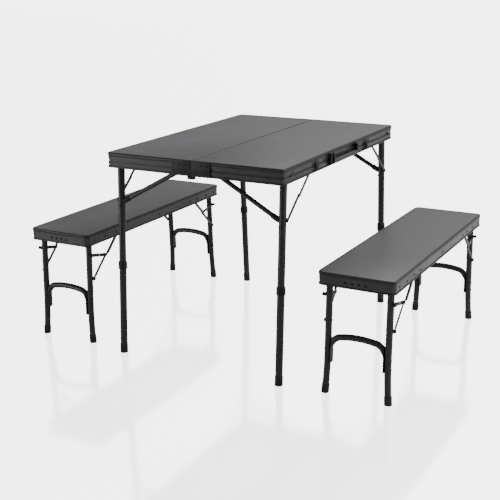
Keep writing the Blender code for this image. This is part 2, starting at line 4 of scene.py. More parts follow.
import bpy
import numpy as np
from mathutils import Matrix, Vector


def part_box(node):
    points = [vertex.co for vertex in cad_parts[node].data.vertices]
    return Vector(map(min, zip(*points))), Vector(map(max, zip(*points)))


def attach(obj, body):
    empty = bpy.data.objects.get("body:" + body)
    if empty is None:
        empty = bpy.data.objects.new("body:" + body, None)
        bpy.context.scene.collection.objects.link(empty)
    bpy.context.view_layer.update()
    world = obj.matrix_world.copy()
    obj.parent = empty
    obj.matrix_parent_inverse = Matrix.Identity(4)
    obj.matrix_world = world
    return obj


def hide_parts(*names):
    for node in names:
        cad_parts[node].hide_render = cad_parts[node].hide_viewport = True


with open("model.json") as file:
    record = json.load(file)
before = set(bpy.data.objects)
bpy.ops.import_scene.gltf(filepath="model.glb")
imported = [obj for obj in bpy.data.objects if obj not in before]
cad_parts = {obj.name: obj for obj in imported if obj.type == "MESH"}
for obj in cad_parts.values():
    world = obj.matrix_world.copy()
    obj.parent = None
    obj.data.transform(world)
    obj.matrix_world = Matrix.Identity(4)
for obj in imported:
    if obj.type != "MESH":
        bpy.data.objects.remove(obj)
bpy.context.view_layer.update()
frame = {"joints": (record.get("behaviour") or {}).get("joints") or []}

joints = {joint["name"]: joint for joint in frame["joints"]}
sideNames = {1: "right", -1: "left"}
endNames = {-1: "near", 1: "far"}


def labelOf(side, end):  # the corner's name, such as right_near
    return f"{sideNames[side]}_{endNames[end]}"


# ---- surfaces worked out as whole arrays ----

def unit(vector):  # the same direction, one long
    vector = np.asarray(vector, float)
    return vector / np.linalg.norm(vector)


def circle(radius, sides=40):  # points radius * (cos t, sin t), t once round
    turn = np.arange(sides) * 2 * np.pi / sides
    return radius * np.stack([np.cos(turn), np.sin(turn)], -1)


def arcPoints(centre, radius, start, stop, steps):
    # centre + radius * (cos t, sin t), with t from start to stop in degrees
    turn = np.radians(np.linspace(start, stop, steps + 1))
    return np.asarray(centre) + radius * np.stack([np.cos(turn), np.sin(turn)], -1)


def roundedOutline(low, high, radii, steps=8):
    # a rectangle whose corners are quarter circles: right-far, left-far, left-near, right-near
    (x0, y0), (x1, y1) = low, high
    a, b, c, d = radii
    corners = [
        arcPoints((x1 - a, y1 - a), a, 0, 90, steps),
        arcPoints((x0 + b, y1 - b), b, 90, 180, steps),
        arcPoints((x0 + c, y0 + c), c, 180, 270, steps),
        arcPoints((x1 - d, y0 + d), d, 270, 360, steps),
    ]
    return np.concatenate(corners)


def stadium(length, width, steps=12):  # a bar with half-round ends, its first centre at the origin
    half = width / 2
    far = arcPoints((length, 0), half, -90, 90, steps)
    near = arcPoints((0, 0), half, 90, 270, steps)
    return np.concatenate([far, near])


def mitres(points, closed):
    # at each corner the two edge normals n1, n2 give the offset direction (n1 + n2) / (1 + n1.n2)
    edges = np.roll(points, -1, 0) - points
    edges = edges / np.linalg.norm(edges, axis=1, keepdims=True)
    normals = np.stack([edges[:, 1], -edges[:, 0]], -1)
    before = np.roll(normals, 1, 0)
    if not closed:
        before[0] = normals[0]
        normals[-1] = before[-1]
    return (normals + before) / (1 + (normals * before).sum(-1, keepdims=True))


def loft(rings, closed=False):
    # rings[u, v]: neighbours join four by four, v closes on itself, and u closes too or ends in two flat caps
    rows, columns = rings.shape[:2]
    u, v = np.meshgrid(np.arange(rows if closed else rows - 1), np.arange(columns), indexing="ij")
    uNext, vNext = (u + 1) % rows, (v + 1) % columns
    quads = np.stack([u * columns + v, u * columns + vNext, uNext * columns + vNext, uNext * columns + v], -1)
    points = rings.reshape(-1, 3)
    faces = quads.reshape(-1, 4).tolist()
    if not closed:
        faces += [list(range(columns))[::-1], list(range((rows - 1) * columns, rows * columns))]
    # the signed volume, summed over the quads' halves and the caps' fans, says which way the faces point
    a, b, c, d = (points[quads.reshape(-1, 4)[:, k]] for k in range(4))
    volume = (np.cross(a, b) * c).sum() + (np.cross(a, c) * d).sum()
    if not closed:
        for cap in (rings[0][::-1], rings[-1]):
            volume += (np.cross(cap[0], cap[1:-1]) * cap[2:]).sum()
    if volume < 0:
        faces = [face[::-1] for face in faces]
    return points, faces


def turned(profile, base, axis, sides=40):
    # each (radius, height) of the profile goes once round the axis at base + height * axis
    axis = unit(axis)
    helper = np.array([0.0, 0.0, 1.0]) if abs(axis[2]) < 0.9 else np.array([1.0, 0.0, 0.0])
    first = unit(np.cross(axis, helper))
    second = np.cross(axis, first)
    ring = circle(1.0, sides) @ np.stack([first, second])
    profile = np.asarray(profile, float)
    return loft(np.asarray(base) + profile[:, None, 1:2] * axis + profile[:, None, 0:1] * ring)


def carry(path, section, across, closed=False):
    # the section's (x, y) lies along (path normal, across) at every point of a path in one plane
    path = np.asarray(path, float)
    across = unit(across)
    tangent = np.roll(path, -1, 0) - np.roll(path, 1, 0)
    if not closed:
        tangent[0] = path[1] - path[0]
        tangent[-1] = path[-1] - path[-2]
    tangent = tangent / np.linalg.norm(tangent, axis=1, keepdims=True)
    normal = np.cross(tangent, across)
    section = np.broadcast_to(section, (len(path),) + np.shape(section)[-2:])
    return loft(path[:, None] + section[..., 0:1] * normal[:, None] + section[..., 1:2] * across, closed)


def plate(outline, steps, origin, xAxis, yAxis):
    # the outline, drawn in by each step's inset, stands at the step's height over the plane of both axes
    offset = mitres(outline, True)
    rings = []
    for inset, height in steps:
        level = np.full(len(outline), height)
        rings.append(np.column_stack([outline - inset * offset, level]))
    axes = np.stack([unit(xAxis), unit(yAxis), np.cross(unit(xAxis), unit(yAxis))])
    return loft(np.asarray(origin) + np.stack(rings) @ axes)


def slab(low, high, corners, steps, origin, xAxis, yAxis, arcSteps=6):
    # a plate whose outline is a rounded rectangle, with one radius or with one for each corner
    radii = corners if np.ndim(corners) else (corners,) * 4
    return plate(roundedOutline(low, high, radii, arcSteps), steps, origin, xAxis, yAxis)


def easedSteps(thickness, ease):  # both faces of a plate, with its edges eased by a quarter round
    turn = np.radians(np.linspace(0, 90, 4))
    rise = ease * (1 - np.cos(turn))
    draw = ease * (1 - np.sin(turn))
    lower = np.stack([draw, rise], -1)
    upper = np.stack([draw, thickness - rise], -1)[::-1]
    return np.concatenate([lower, upper])


def dome(radius, height, flange=0.0):
    # a rivet head: a short wall, then a quarter round that stops short of its pole
    turn = np.radians(np.linspace(0, 82, 7))
    cap = np.stack([radius * np.cos(turn), flange + (height - flange) * np.sin(turn)], -1)
    return np.concatenate([[[radius, 0.0]], cap]) if flange else cap


def mirrored(shape, side):  # the same shape on the other side of the YZ plane
    if side > 0:
        return shape
    points, faces = shape
    return points * [-1, 1, 1], [face[::-1] for face in faces]


def makePiece(name, shapes, material, body, stands=(), sharp=32, floor=None):
    # joins closed shapes into one object that rides on a body
    points = []
    faces = []
    start = 0
    for shapePoints, shapeFaces in shapes:
        points.append(shapePoints)
        faces += [[start + index for index in face] for face in shapeFaces]
        start += len(shapePoints)
    points = np.concatenate(points)
    if floor is not None:
        points[:, 2] = np.maximum(points[:, 2], floor)
    mesh = bpy.data.meshes.new(name)
    mesh.from_pydata(points.tolist(), [], faces)
    mesh.shade_smooth()
    mesh.set_sharp_from_angle(angle=math.radians(sharp))
    mesh.materials.append(material)
    piece = bpy.data.objects.new(name, mesh)
    bpy.context.scene.collection.objects.link(piece)
    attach(piece, body)
    if stands:
        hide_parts(*stands)
    return piece


# ---- materials ----

# a noise is listed as its scale, detail and roughness, and its stretch if it has one
noiseMiddle = (0.3, 0.7)


class Wire:  # a shader value that takes Python's operators
    def __init__(self, recipe, socket):
        self.recipe = recipe
        self.socket = socket

    def maths(self, operation, *values):
        return self.recipe.node("ShaderNodeMath", {"operation": operation}, dict(enumerate(values)))

    def __add__(self, other):
        return self.maths("ADD", self, other)

    def __sub__(self, other):
        return self.maths("SUBTRACT", self, other)

    def __mul__(self, other):
        return self.maths("MULTIPLY", self, other)

    def __rsub__(self, other):
        return self.maths("SUBTRACT", other, self)

    __radd__ = __add__
    __rmul__ = __mul__


class Recipe:  # one procedural material
    def __init__(self, name, colour, rough, metal=0.0):
        self.material = bpy.data.materials.new(name)
        self.material.use_nodes = True
        self.nodes = self.material.node_tree.nodes
        self.links = self.material.node_tree.links
        self.surface = self.nodes["Principled BSDF"]
        self.surface.inputs["Base Color"].default_value = (*colour, 1.0)
        self.surface.inputs["Roughness"].default_value = rough
        self.surface.inputs["Metallic"].default_value = metal
        self.place = self.node("ShaderNodeTexCoord", {}, {}, "Object")

    def node(self, kind, settings, inputs, output=0):
        made = self.nodes.new(kind)
        for key, value in settings.items():
            if key == "stops":  # the ramp has two stops of its own
                for stop, (position, colour) in zip(made.color_ramp.elements, value):
                    stop.position = position
                    stop.color = (*colour, 1.0)
            else:
                setattr(made, key, value)
        for key, value in inputs.items():
            if isinstance(value, Wire):
                self.links.new(value.socket, made.inputs[key])
            else:
                made.inputs[key].default_value = value
        return Wire(self, made.outputs[output])

    def noise(self, scale, detail, rough, stretch=(1, 1, 1)):
        spot = self.node("ShaderNodeMapping", {}, {"Vector": self.place, "Scale": stretch})
        inputs = {"Vector": spot, "Scale": scale, "Detail": detail, "Roughness": rough}
        return self.node("ShaderNodeTexNoise", {}, inputs)

    def level(self, value, low, high, start=0.0, stop=1.0):  # low..high moved to start..stop, and held there
        return self.node("ShaderNodeMapRange", {}, {0: value, 1: low, 2: high, 3: start, 4: stop})

    def middle(self, value, start=0.0, stop=1.0):  # the middle of a noise, where most of it lies
        return self.level(value, *noiseMiddle, start, stop)

    def blendColour(self, share, first, second):
        return self.node("ShaderNodeMix", {"data_type": "RGBA"}, {0: share, 6: first, 7: second}, 2)

    def feed(self, name, wire):
        self.links.new(wire.socket, self.surface.inputs[name])

    def relief(self, height, strength, distance):
        inputs = {"Height": height, "Strength": strength, "Distance": distance}
        self.feed("Normal", self.node("ShaderNodeBump", {}, inputs))


def grey(value, tint=0.0):  # a grey with a little blue in it
    return (value * (1 - tint), value, value * (1 + tint), 1.0)


laminateLook = {
    "base": 0.060, "spread": 0.10, "tints": (0.005, 0.01), "rough": 0.40, "roughSpread": 0.08,
    "cloud": (7, 5, 0.6), "grain": (900, 3, 0.6), "shares": (0.6, 0.4),
    "rub": (60, 2, 0.5, (1, 0.03, 1)), "rubRange": (0.62, 0.75), "rubShine": 0.05, "bump": (0.18, 0.0002),
}


def laminateMaterial():  # matt grey laminate: faint clouds, a fine pebble grain and a few hairline rubs
    look = laminateLook
    base, rough, spread = look["base"], look["rough"], look["roughSpread"]
    recipe = Recipe("greyLaminate", grey(base)[:3], rough)
    cloud = recipe.noise(*look["cloud"])
    speckle = recipe.noise(*look["grain"])
    rubs = recipe.level(recipe.noise(*look["rub"]), *look["rubRange"])
    cloudShare, speckleShare = look["shares"]
    mix = recipe.middle(cloud) * cloudShare + recipe.middle(speckle) * speckleShare
    dark = grey(base * (1 - look["spread"]), look["tints"][0])
    pale = grey(base * (1 + look["spread"]), look["tints"][1])
    recipe.feed("Base Color", recipe.blendColour(mix, dark, pale))
    recipe.feed("Roughness", recipe.middle(cloud, rough - spread, rough + spread) - rubs * look["rubShine"])
    recipe.relief(speckle, *look["bump"])
    return recipe.material


backingLook = {
    "base": 0.10, "rough": 0.8, "fibre": (260, 6, 0.7, (1, 0.25, 1)), "dark": (0.085, 0.085, 0.086),
    "pale": (0.135, 0.134, 0.130), "bump": (0.3, 0.0002),
}


def backingMaterial():  # raw grey backing paper under the boards
    look = backingLook
    recipe = Recipe("backingPaper", (look["base"],) * 3, look["rough"])
    fibre = recipe.noise(*look["fibre"])
    stops = list(zip(noiseMiddle, (look["dark"], look["pale"])))
    recipe.feed("Base Color", recipe.node("ShaderNodeValToRGB", {"stops": stops}, {"Fac": fibre}))
    recipe.relief(fibre, *look["bump"])
    return recipe.material


coatingLooks = {
    "rimCoating": {"base": 0.036, "rough": 0.33, "metal": 0.40, "shine": 0.36, "grain": 1400},
    # a darker copy of the rim coating: painted shade on the rim's lip, groove and foot bead
    "rimLipCoating": {"base": 0.017, "rough": 0.42, "metal": 0.20, "shine": 0.30, "grain": 1400},
    "tubeCoating": {"base": 0.018, "rough": 0.38, "metal": 0.20, "shine": 0.32, "grain": 1100},
}
coatingPlan = {
    "peel": (2, 0.5), "cloud": (14, 4, 0.55), "cloudRange": (0.35, 0.65),
    "shades": ((0.92, 0.02), (1.10, 0.03)), "sheen": (0.05, 0.06),
    "dustHeight": 0.09, "dustNoise": (70, 5, 0.7), "dustRange": (0.35, 0.75),
    "dustColour": (0.16, 0.15, 0.135, 1.0), "dustShare": 0.25, "dustRough": 0.15, "bump": (0.10, 0.00015),
}


def coatingMaterial(name):  # powder coat: orange-peel grain, uneven sheen, and dust gathering near the ground
    look, plan = coatingLooks[name], coatingPlan
    base, rough = look["base"], look["rough"]
    recipe = Recipe(name, grey(base)[:3], rough, look["metal"])
    recipe.surface.inputs["Specular IOR Level"].default_value = look["shine"]
    peel = recipe.noise(look["grain"], *plan["peel"])
    cloud = recipe.noise(*plan["cloud"])
    height = recipe.node("ShaderNodeSeparateXYZ", {}, {0: recipe.place}, 2)
    nearGround = recipe.level(height, 0.0, plan["dustHeight"], 1.0, 0.0)
    dust = nearGround * recipe.level(recipe.noise(*plan["dustNoise"]), *plan["dustRange"])
    dark, pale = (grey(base * share, tint) for share, tint in plan["shades"])
    plain = recipe.blendColour(recipe.level(cloud, *plan["cloudRange"]), dark, pale)
    recipe.feed("Base Color", recipe.blendColour(dust * plan["dustShare"], plain, plan["dustColour"]))
    less, more = plan["sheen"]
    recipe.feed("Roughness", recipe.middle(cloud, rough - less, rough + more) + dust * plan["dustRough"])
    recipe.relief(peel, *plan["bump"])
    return recipe.material


stripLook = {
    "base": 0.05, "rough": 0.34, "metal": 0.7, "drawn": (220, 3, 0.6, (4, 1, 1)), "cloud": (60, 4, 0.6),
    "dark": (0.035, 0.035, 0.037, 1.0), "pale": (0.07, 0.07, 0.073, 1.0), "roughRange": (0.28, 0.46),
    "bump": (0.15, 0.0001),
}


def stripMaterial():  # zinc plated strip steel: drawn lines along the stays and cloudy plating
    look = stripLook
    recipe = Recipe("zincStrip", (look["base"],) * 3, look["rough"], look["metal"])
    drawn = recipe.noise(*look["drawn"])
    cloud = recipe.noise(*look["cloud"])
    recipe.feed("Base Color", recipe.blendColour(recipe.middle(cloud), look["dark"], look["pale"]))
    recipe.feed("Roughness", recipe.middle(drawn, *look["roughRange"]))
    recipe.relief(drawn, *look["bump"])
    return recipe.material


mouldedLooks = {
    "blackPlastic": {"base": 0.006, "rough": 0.52, "grain": 2200, "bump": 0.04},
    "greyPlastic": {"base": 0.16, "rough": 0.45, "grain": 1800, "bump": 0.10},
    "gripPlastic": {"base": 0.035, "rough": 0.45, "grain": 2000, "bump": 0.12},
    "footRubber": {"base": 0.014, "rough": 0.62, "grain": 1200, "bump": 0.25},
    "blackHead": {"base": 0.003, "rough": 0.60, "grain": 2600, "bump": 0.02},
}
mouldedPlan = {"shine": 0.25, "cloud": (45, 4, 0.6), "shades": (0.85, 1.25), "sheen": 0.06, "depth": 0.0002}


def mouldedMaterial(name):  # moulded plastic or rubber: fine spark grain and soft blotches
    look, plan = mouldedLooks[name], mouldedPlan
    base, rough, sheen = look["base"], look["rough"], plan["sheen"]
    recipe = Recipe(name, (base,) * 3, rough)
    recipe.surface.inputs["Specular IOR Level"].default_value = plan["shine"]
    inputs = {"Vector": recipe.place, "Scale": look["grain"]}
    spark = recipe.node("ShaderNodeTexVoronoi", {}, inputs, "Distance")
    cloud = recipe.noise(*plan["cloud"])
    dark, pale = (grey(base * share) for share in plan["shades"])
    recipe.feed("Base Color", recipe.blendColour(recipe.middle(cloud), dark, pale))
    recipe.feed("Roughness", recipe.middle(cloud, rough - sheen, rough + sheen))
    recipe.relief(spark, look["bump"], plan["depth"])
    return recipe.material


rivetLook = {
    "base": 0.03, "rough": 0.3, "metal": 0.40, "wear": (420, 4, 0.7), "wearRange": (0.5, 0.75),
    "dark": (0.008, 0.008, 0.009, 1.0), "worn": (0.035, 0.035, 0.036, 1.0), "roughRise": 0.15,
    "roughBase": 0.26, "bump": (0.1, 0.0001),
}


def rivetMaterial():  # blackened steel heads, a little brighter where they are worn
    look = rivetLook
    recipe = Recipe("blackenedSteel", (look["base"],) * 3, look["rough"], look["metal"])
    wear = recipe.level(recipe.noise(*look["wear"]), *look["wearRange"])
    recipe.feed("Base Color", recipe.blendColour(wear, look["dark"], look["worn"]))
    recipe.feed("Roughness", wear * look["roughRise"] + look["roughBase"])
    recipe.relief(wear, *look["bump"])
    return recipe.material


laminate = laminateMaterial()
backing = backingMaterial()
rimCoat = coatingMaterial("rimCoating")
# painted shade: the darker rim coating for the lip, the groove and the foot bead
rimShadeMaterial = coatingMaterial("rimLipCoating")
tubeCoat = coatingMaterial("tubeCoating")
zinc = stripMaterial()
blackPlastic = mouldedMaterial("blackPlastic")
greyPlastic = mouldedMaterial("greyPlastic")
gripPlastic = mouldedMaterial("gripPlastic")
rubber = mouldedMaterial("footRubber")
rivetSteel = rivetMaterial()
blackHead = mouldedMaterial("blackHead")
print("materials ready")


# ---- boards and rims ----

boardPlan = {
    "ease": 0.0008, "lip": 0.0018, "seamStrip": 0.0034, "seamCorner": 0.0008, "tableCorner": 0.0160,
    "benchCorner": 0.0128, "arcSteps": 10, "facesDown": -0.9,
}


def makeBoard(node, body, radii, seam=0):
    # drawn in under the rim's lip, and at the seam behind the strip that edges each half
    plan = boardPlan
    low, high = (np.array(corner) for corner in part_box(node))
    low[:2] += plan["lip"]
    high[:2] -= plan["lip"]
    if seam > 0:
        low[0] += plan["seamStrip"] - plan["lip"]
    if seam < 0:
        high[0] -= plan["seamStrip"] - plan["lip"]
    steps = easedSteps(high[2] - low[2], plan["ease"])
    board = slab(low[:2], high[:2], radii, steps, (0, 0, low[2]), (1, 0, 0), (0, 1, 0), plan["arcSteps"])
    piece = makePiece(node + ".board", [board], laminate, body, [node])
    piece.data.materials.append(backing)
    normals = np.zeros(len(piece.data.polygons) * 3)
    piece.data.polygons.foreach_get("normal", normals)
    down = normals.reshape(-1, 3)[:, 2] < plan["facesDown"]
    piece.data.polygons.foreach_set("material_index", down.astype(np.int32))


rimPlan = {
    "recess": 0.0022, "web": 0.0018, "border": 0.0050, "lip": 0.24, "groove": (0.50, 0.62), "sink": 0.0010,
    "foot": 0.88, "tilt": 0.0013, "tableCorner": 0.015, "benchCorner": 0.018, "ledge": 0.0090,
    "pinGap": 0.0042,
}


def rimSection(height, boardDepth, grooved):
    # outline of the rim across its wall: x is out from the object's edge, y is down from the top
    # a rounded lip, a wall that leans a little, and a foot bead; a sunk groove may split it in two bands
    plan = rimPlan
    recess, tilt, border = plan["recess"], plan["tilt"], plan["border"]
    shares = (plan["lip"], *plan["groove"], plan["foot"])
    lip, grooveTop, grooveBottom, foot = (height * share for share in shares)
    inner = recess + plan["web"]
    if grooved:
        lean = tilt
        across = (0.0, -plan["sink"], -plan["sink"], lean)
    else:
        lean = tilt * (foot - grooveBottom) / (foot - lip)
        across = (lean * 1.3, lean * 1.28, lean * 1.01, lean)
    down = (grooveTop - 0.0004, grooveTop, grooveBottom - 0.0004, grooveBottom)
    outside = [
        (-border, 0.0), (-0.0030, 0.0), (-0.0014, 0.0006), (-0.0004, 0.0020), (0.0, 0.0044),
        (0.0, lip - 0.0030), (-0.0005, lip - 0.0012), (-0.0014, lip - 0.0003), (-recess + tilt, lip),
        *((-recess + x, y) for x, y in zip(across, down)),
        (-recess, foot - 0.0002), (-recess + 0.0004, foot), (-0.0004, foot + 0.0002), (0.0, foot + 0.0010),
        (0.0, height - 0.0014), (-0.0004, height - 0.0004), (-0.0012, height),
    ]
    inside = [
        (-0.0060, height), (-0.0066, height - 0.0006), (-0.0066, height - 0.0016), (-0.0060, height - 0.0020),
        (-inner - 0.0010, height - 0.0024), (-inner - 0.0010, boardDepth + 0.0026),
        (-0.0060, boardDepth + 0.0020), (-0.0115, boardDepth + 0.0018), (-0.0119, boardDepth + 0.0010),
        (-0.0115, boardDepth + 0.0003),
        (-border - 0.0002, boardDepth + 0.0002), (-border - 0.0002, 0.0004),
    ]
    return np.array(outside + inside) * [1, -1]


def rimRings(path, closed, section, top):  # the section at every point of the path, square to it
    plan = path[:, None] + section[None, :, 0:1] * mitres(path, closed)[:, None]
    level = np.broadcast_to(top + section[None, :, 1:2], plan.shape[:2] + (1,))
    return np.concatenate([plan, level], -1)


def paintRimShade(piece, top, height, grooved):
    # the lip, the groove and the foot bead get a darker copy of the coating: painted shade in the sunk groove
    # and on the rounded lip and bead. Faces are picked by their depth below the top, so the top of the seam
    # wall takes it too
    piece.data.materials.append(rimShadeMaterial)
    centres = np.zeros(len(piece.data.polygons) * 3)
    piece.data.polygons.foreach_get("center", centres)
    depth = (top - centres.reshape(-1, 3)[:, 2]) / height
    grooveTop, grooveBottom = rimPlan["groove"]
    # the painted shade bands: the lip and the foot bead, and the sunk groove when there is one
    dark = (depth < rimPlan["lip"]) | (depth > rimPlan["foot"])
    if grooved:
        dark |= (depth > grooveTop - 0.005) & (depth < grooveBottom - 0.002)
    piece.data.polygons.foreach_set("material_index", dark.astype(np.int32))


def makeTableRim(side):
    node, body = "table_rim_" + sideNames[side], "half_" + sideNames[side]
    low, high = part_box(node)
    seam, outer = min(abs(low[0]), abs(high[0])), max(abs(low[0]), abs(high[0]))
    halfLength, corner = high[1], rimPlan["tableCorner"]
    height = high[2] - low[2]
    boardDepth = high[2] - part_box("tabletop_" + sideNames[side])[0][2]
    nearTurn = arcPoints((outer - corner, -halfLength + corner), corner, -90, 0, 12)
    farTurn = arcPoints((outer - corner, halfLength - corner), corner, 0, 90, 12)
    path = np.concatenate([[(seam, -halfLength)], nearTurn, farTurn, [(seam, halfLength)]])
    rings = rimRings(path, False, rimSection(height, boardDepth, True), high[2])
    # the wall along the seam, with its ledge under the board's edge
    edge, ledge = boardPlan["seamStrip"], rimPlan["ledge"]
    wall = [seam, high[2]] + np.array([
        (0.0, -height), (edge, -height), (edge, -boardDepth - 0.0022), (ledge, -boardDepth - 0.0018),
        (ledge, -boardDepth - 0.0002), (edge, -boardDepth - 0.0002), (edge, -0.0009),
        (edge - 0.0003, -0.0006), (0.0005, -0.0006), (0.0, -0.0012),
    ])
    wallEnd = halfLength - rimPlan["recess"] - rimPlan["web"]
    seamRings = np.stack([np.insert(wall, 1, y, axis=1) for y in (-wallEnd, wallEnd)])
    shapes = [mirrored(loft(rings), side), mirrored(loft(seamRings), side)]
    piece = makePiece(node + ".profile", shapes, rimCoat, body, [node])
    paintRimShade(piece, high[2], height, True)


def makeBenchRim(side):
    node, body = "bench_rim_" + sideNames[side], "bench_" + sideNames[side]
    low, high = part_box(node)
    height = high[2] - low[2]
    boardDepth = high[2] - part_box("seat_" + sideNames[side])[0][2]
    path = roundedOutline(low[:2], high[:2], (rimPlan["benchCorner"],) * 4, 14)
    rings = rimRings(path, True, rimSection(height, boardDepth, False), high[2])
    piece = makePiece(node + ".profile", [loft(rings, closed=True)], rimCoat, body, [node])
    paintRimShade(piece, high[2], height, False)


for side in (1, -1):
    outerCorner, seamCorner = boardPlan["tableCorner"], boardPlan["seamCorner"]
    radii = (outerCorner, seamCorner, seamCorner, outerCorner)
    if side < 0:
        radii = (seamCorner, outerCorner, outerCorner, seamCorner)
    makeBoard("tabletop_" + sideNames[side], "half_" + sideNames[side], radii, side)
    makeTableRim(side)
    makeBoard("seat_" + sideNames[side], "bench_" + sideNames[side], (boardPlan["benchCorner"],) * 4)
    makeBenchRim(side)
print("boards and rims ready")


# ---- legs ----

class LegFrame:  # places on a leg: out along X from its axis, in towards the middle, and up along the tube
    def __init__(self, pivot, side, end, splay):
        self.pivot = np.array(pivot, float)
        self.up = np.array([0.0, -end * math.sin(splay), math.cos(splay)])
        self.inward = np.array([0.0, -end * math.cos(splay), -math.sin(splay)])
        self.out = np.array([float(side), 0.0, 0.0])

    def at(self, out, inward, up):
        spot = np.stack(np.broadcast_arrays(out, inward, up), -1)
        return self.pivot + spot @ np.stack([self.out, self.inward, self.up])


tableLeg = {
    "splay": math.radians(3.2), "radius": 0.0120, "collarTop": -0.350, "collarBottom": -0.377,
    "crossRadius": 0.0105, "crossGap": 0.018, "lowerRadius": 0.0122, "footHeight": 0.030,
    "footRadius": 0.0134, "braceRadius": 0.00775, "braceDrop": 0.1480, "braceSlope": math.radians(28.8),
    "braceTop": 0.0650, "sleeve": 0.021, "plateThin": 0.0018, "bearing": 0.017,
}
footGrooves = (0.0075, 0.0115, 0.0155)

# radius, height and flange of each kind of domed head
headSizes = {
    "snap": (0.0032, 0.0022), "brace": (0.0042, 0.0022, 0.0006), "braceSide": (0.0040, 0.0024, 0.0006),
    "cross": (0.0036, 0.0016, 0.0004), "stay": (0.0040, 0.0016, 0.0004), "stayStud": (0.0046, 0.0020, 0.0006),
    "bolt": (0.0034, 0.0020, 0.0006), "boltEnd": (0.0036, 0.0016, 0.0005),
    "legStud": (0.0036, 0.0018, 0.0006), "linkInner": (0.0036, 0.0014, 0.0004),
    "linkOuter": (0.0038, 0.0016, 0.0004), "lug": (0.0062, 0.0046, 0.0024),
}


def headShape(kind, spot, way, sides=24):
    return turned(dome(*headSizes[kind]), spot, way, sides)


def footCap(base, axis, radius, height):
    # rubber foot: a lip, three shallow grooves and a slightly wider sole; heights run up from the sole
    lines = [(radius * 0.90, -0.001), (radius, 0.0), (radius, 0.004)]
    for level in footGrooves:
        lines += [
            (radius, level - 0.0008), (radius - 0.0005, level - 0.0004),
            (radius - 0.0005, level + 0.0004), (radius - 0.0001, level + 0.0008),
        ]
    lines += [
        (radius - 0.0002, height - 0.0030), (radius, height - 0.0024), (radius, height - 0.0006),
        (radius - 0.0006, height), (radius * 0.80, height + 0.0002),
    ]
    return turned(lines, base, axis)


def makeTableTubes(leg, label, crossEnd):
    plan = tableLeg
    body, foot = "leg_" + label, "leg_end_" + label
    radius, cross = plan["radius"], plan["crossRadius"]
    top, bottom = plan["collarTop"], plan["collarBottom"]
    tubeLine = [(radius - 0.002, 0.0118), (radius - 0.0005, 0.0113), (radius, 0.0100), (radius, top - 0.004)]
    crossLine = [(cross, 0.0), (cross, crossEnd - 0.0006), (cross - 0.0006, crossEnd)]
    weldLine = [
        (cross - 0.001, radius - 0.0030), (cross + 0.0016, radius - 0.0012),
        (cross + 0.0010, radius + 0.0010), (cross - 0.001, radius + 0.0030),
    ]
    tube = turned(tubeLine, leg.pivot, leg.up, 48)
    crossTube, weld = (turned(line, leg.pivot, -leg.out, 40) for line in (crossLine, weldLine))
    makePiece("upperTube_" + label, [tube, crossTube, weld], tubeCoat, body, ["upper_leg_" + label])
    collar = [
        (radius - 0.001, top), (0.0132, top), (0.0139, top - 0.0008), (0.0141, top - 0.0050),
        (0.0150, top - 0.0066), (0.0150, top - 0.0150), (0.0145, top - 0.0156), (0.0145, top - 0.0170),
        (0.0150, top - 0.0176), (0.0150, bottom + 0.0010), (0.0142, bottom), (radius - 0.001, bottom),
    ]
    makePiece("collar_" + label, [turned(collar, leg.pivot, leg.up, 48)], blackPlastic, body)
    full = leg.pivot[2] / math.cos(plan["splay"])
    lower = plan["lowerRadius"]
    lowerLine = [(lower - 0.0010, bottom - 0.0005), (lower, bottom - 0.0012), (lower, -full + 0.006)]
    spigotLine = [(0.0096, -0.262), (0.0099, -0.2635), (0.0099, bottom - 0.002)]
    lowerTube = turned(lowerLine, leg.pivot, leg.up, 48)
    spigot = turned(spigotLine, leg.pivot, leg.up, 32)
    makePiece("lowerTube_" + label, [lowerTube, spigot], tubeCoat, foot, ["lower_leg_" + label])
    cap = footCap(leg.at(0, 0, -full), leg.up, plan["footRadius"], plan["footHeight"])
    makePiece("footCap_" + label, [cap], rubber, foot, floor=0.0)
    button = headShape("snap", leg.at(0, -0.0144, bottom + 0.0085), -leg.inward, 20)
    makePiece("snapButton_" + label, [button], rivetSteel, foot)


def makeBrace(leg, label, reach, crossEnd):
    # from under the cross tube down to the leg, in a plastic sleeve at the leg
    plan, body = tableLeg, "leg_" + label
    radius, thin = plan["radius"], plan["braceRadius"]
    slope, drop = math.tan(plan["braceSlope"]), plan["braceDrop"]
    topOut = -(reach - plan["braceTop"])
    botOut = -(radius + 0.0003 + thin * math.sin(plan["braceSlope"]))
    start, stop = leg.at(topOut, 0, -drop - topOut * slope), leg.at(botOut, 0, -drop - botOut * slope)
    along, run = unit(stop - start), np.linalg.norm(stop - start)
    tube = turned([(thin - 0.0006, 0.0), (thin, 0.0006), (thin, run)], start, along, 36)
    makePiece("braceTube_" + label, [tube], tubeCoat, body, ["brace_" + label])
    sleeveTop = run - plan["sleeve"]
    fitting = [
        (thin - 0.0005, sleeveTop), (thin + 0.0012, sleeveTop), (thin + 0.0018, sleeveTop + 0.0010),
        (thin + 0.0018, run - 0.005), (thin + 0.0008, run + 0.005), (thin - 0.002, run + 0.008),
    ]
    saddle = [
        (thin - 0.001, -0.006), (thin + 0.0012, -0.004), (thin + 0.0016, 0.002), (thin + 0.0016, 0.013),
        (thin + 0.0010, 0.014), (thin - 0.0005, 0.014),
    ]
    fittings = [turned(line, start, along, 36) for line in (fitting, saddle)]
    makePiece("braceFitting_" + label, fittings, blackPlastic, body)
    heads = []
    for up in (-drop - 0.012, -0.034):
        heads.append(headShape("brace", leg.at(0, -radius + 0.0003, up), -leg.inward))
    heads.append(headShape("braceSide", leg.at(-radius + 0.0003, 0, -drop - 0.014), -leg.out))
    crossSpot = leg.at(-crossEnd + 0.006, -plan["crossRadius"] + 0.0002, 0)
    heads.append(headShape("cross", crossSpot, -leg.inward, 20))
    makePiece("legRivets_" + label, heads, rivetSteel, body)


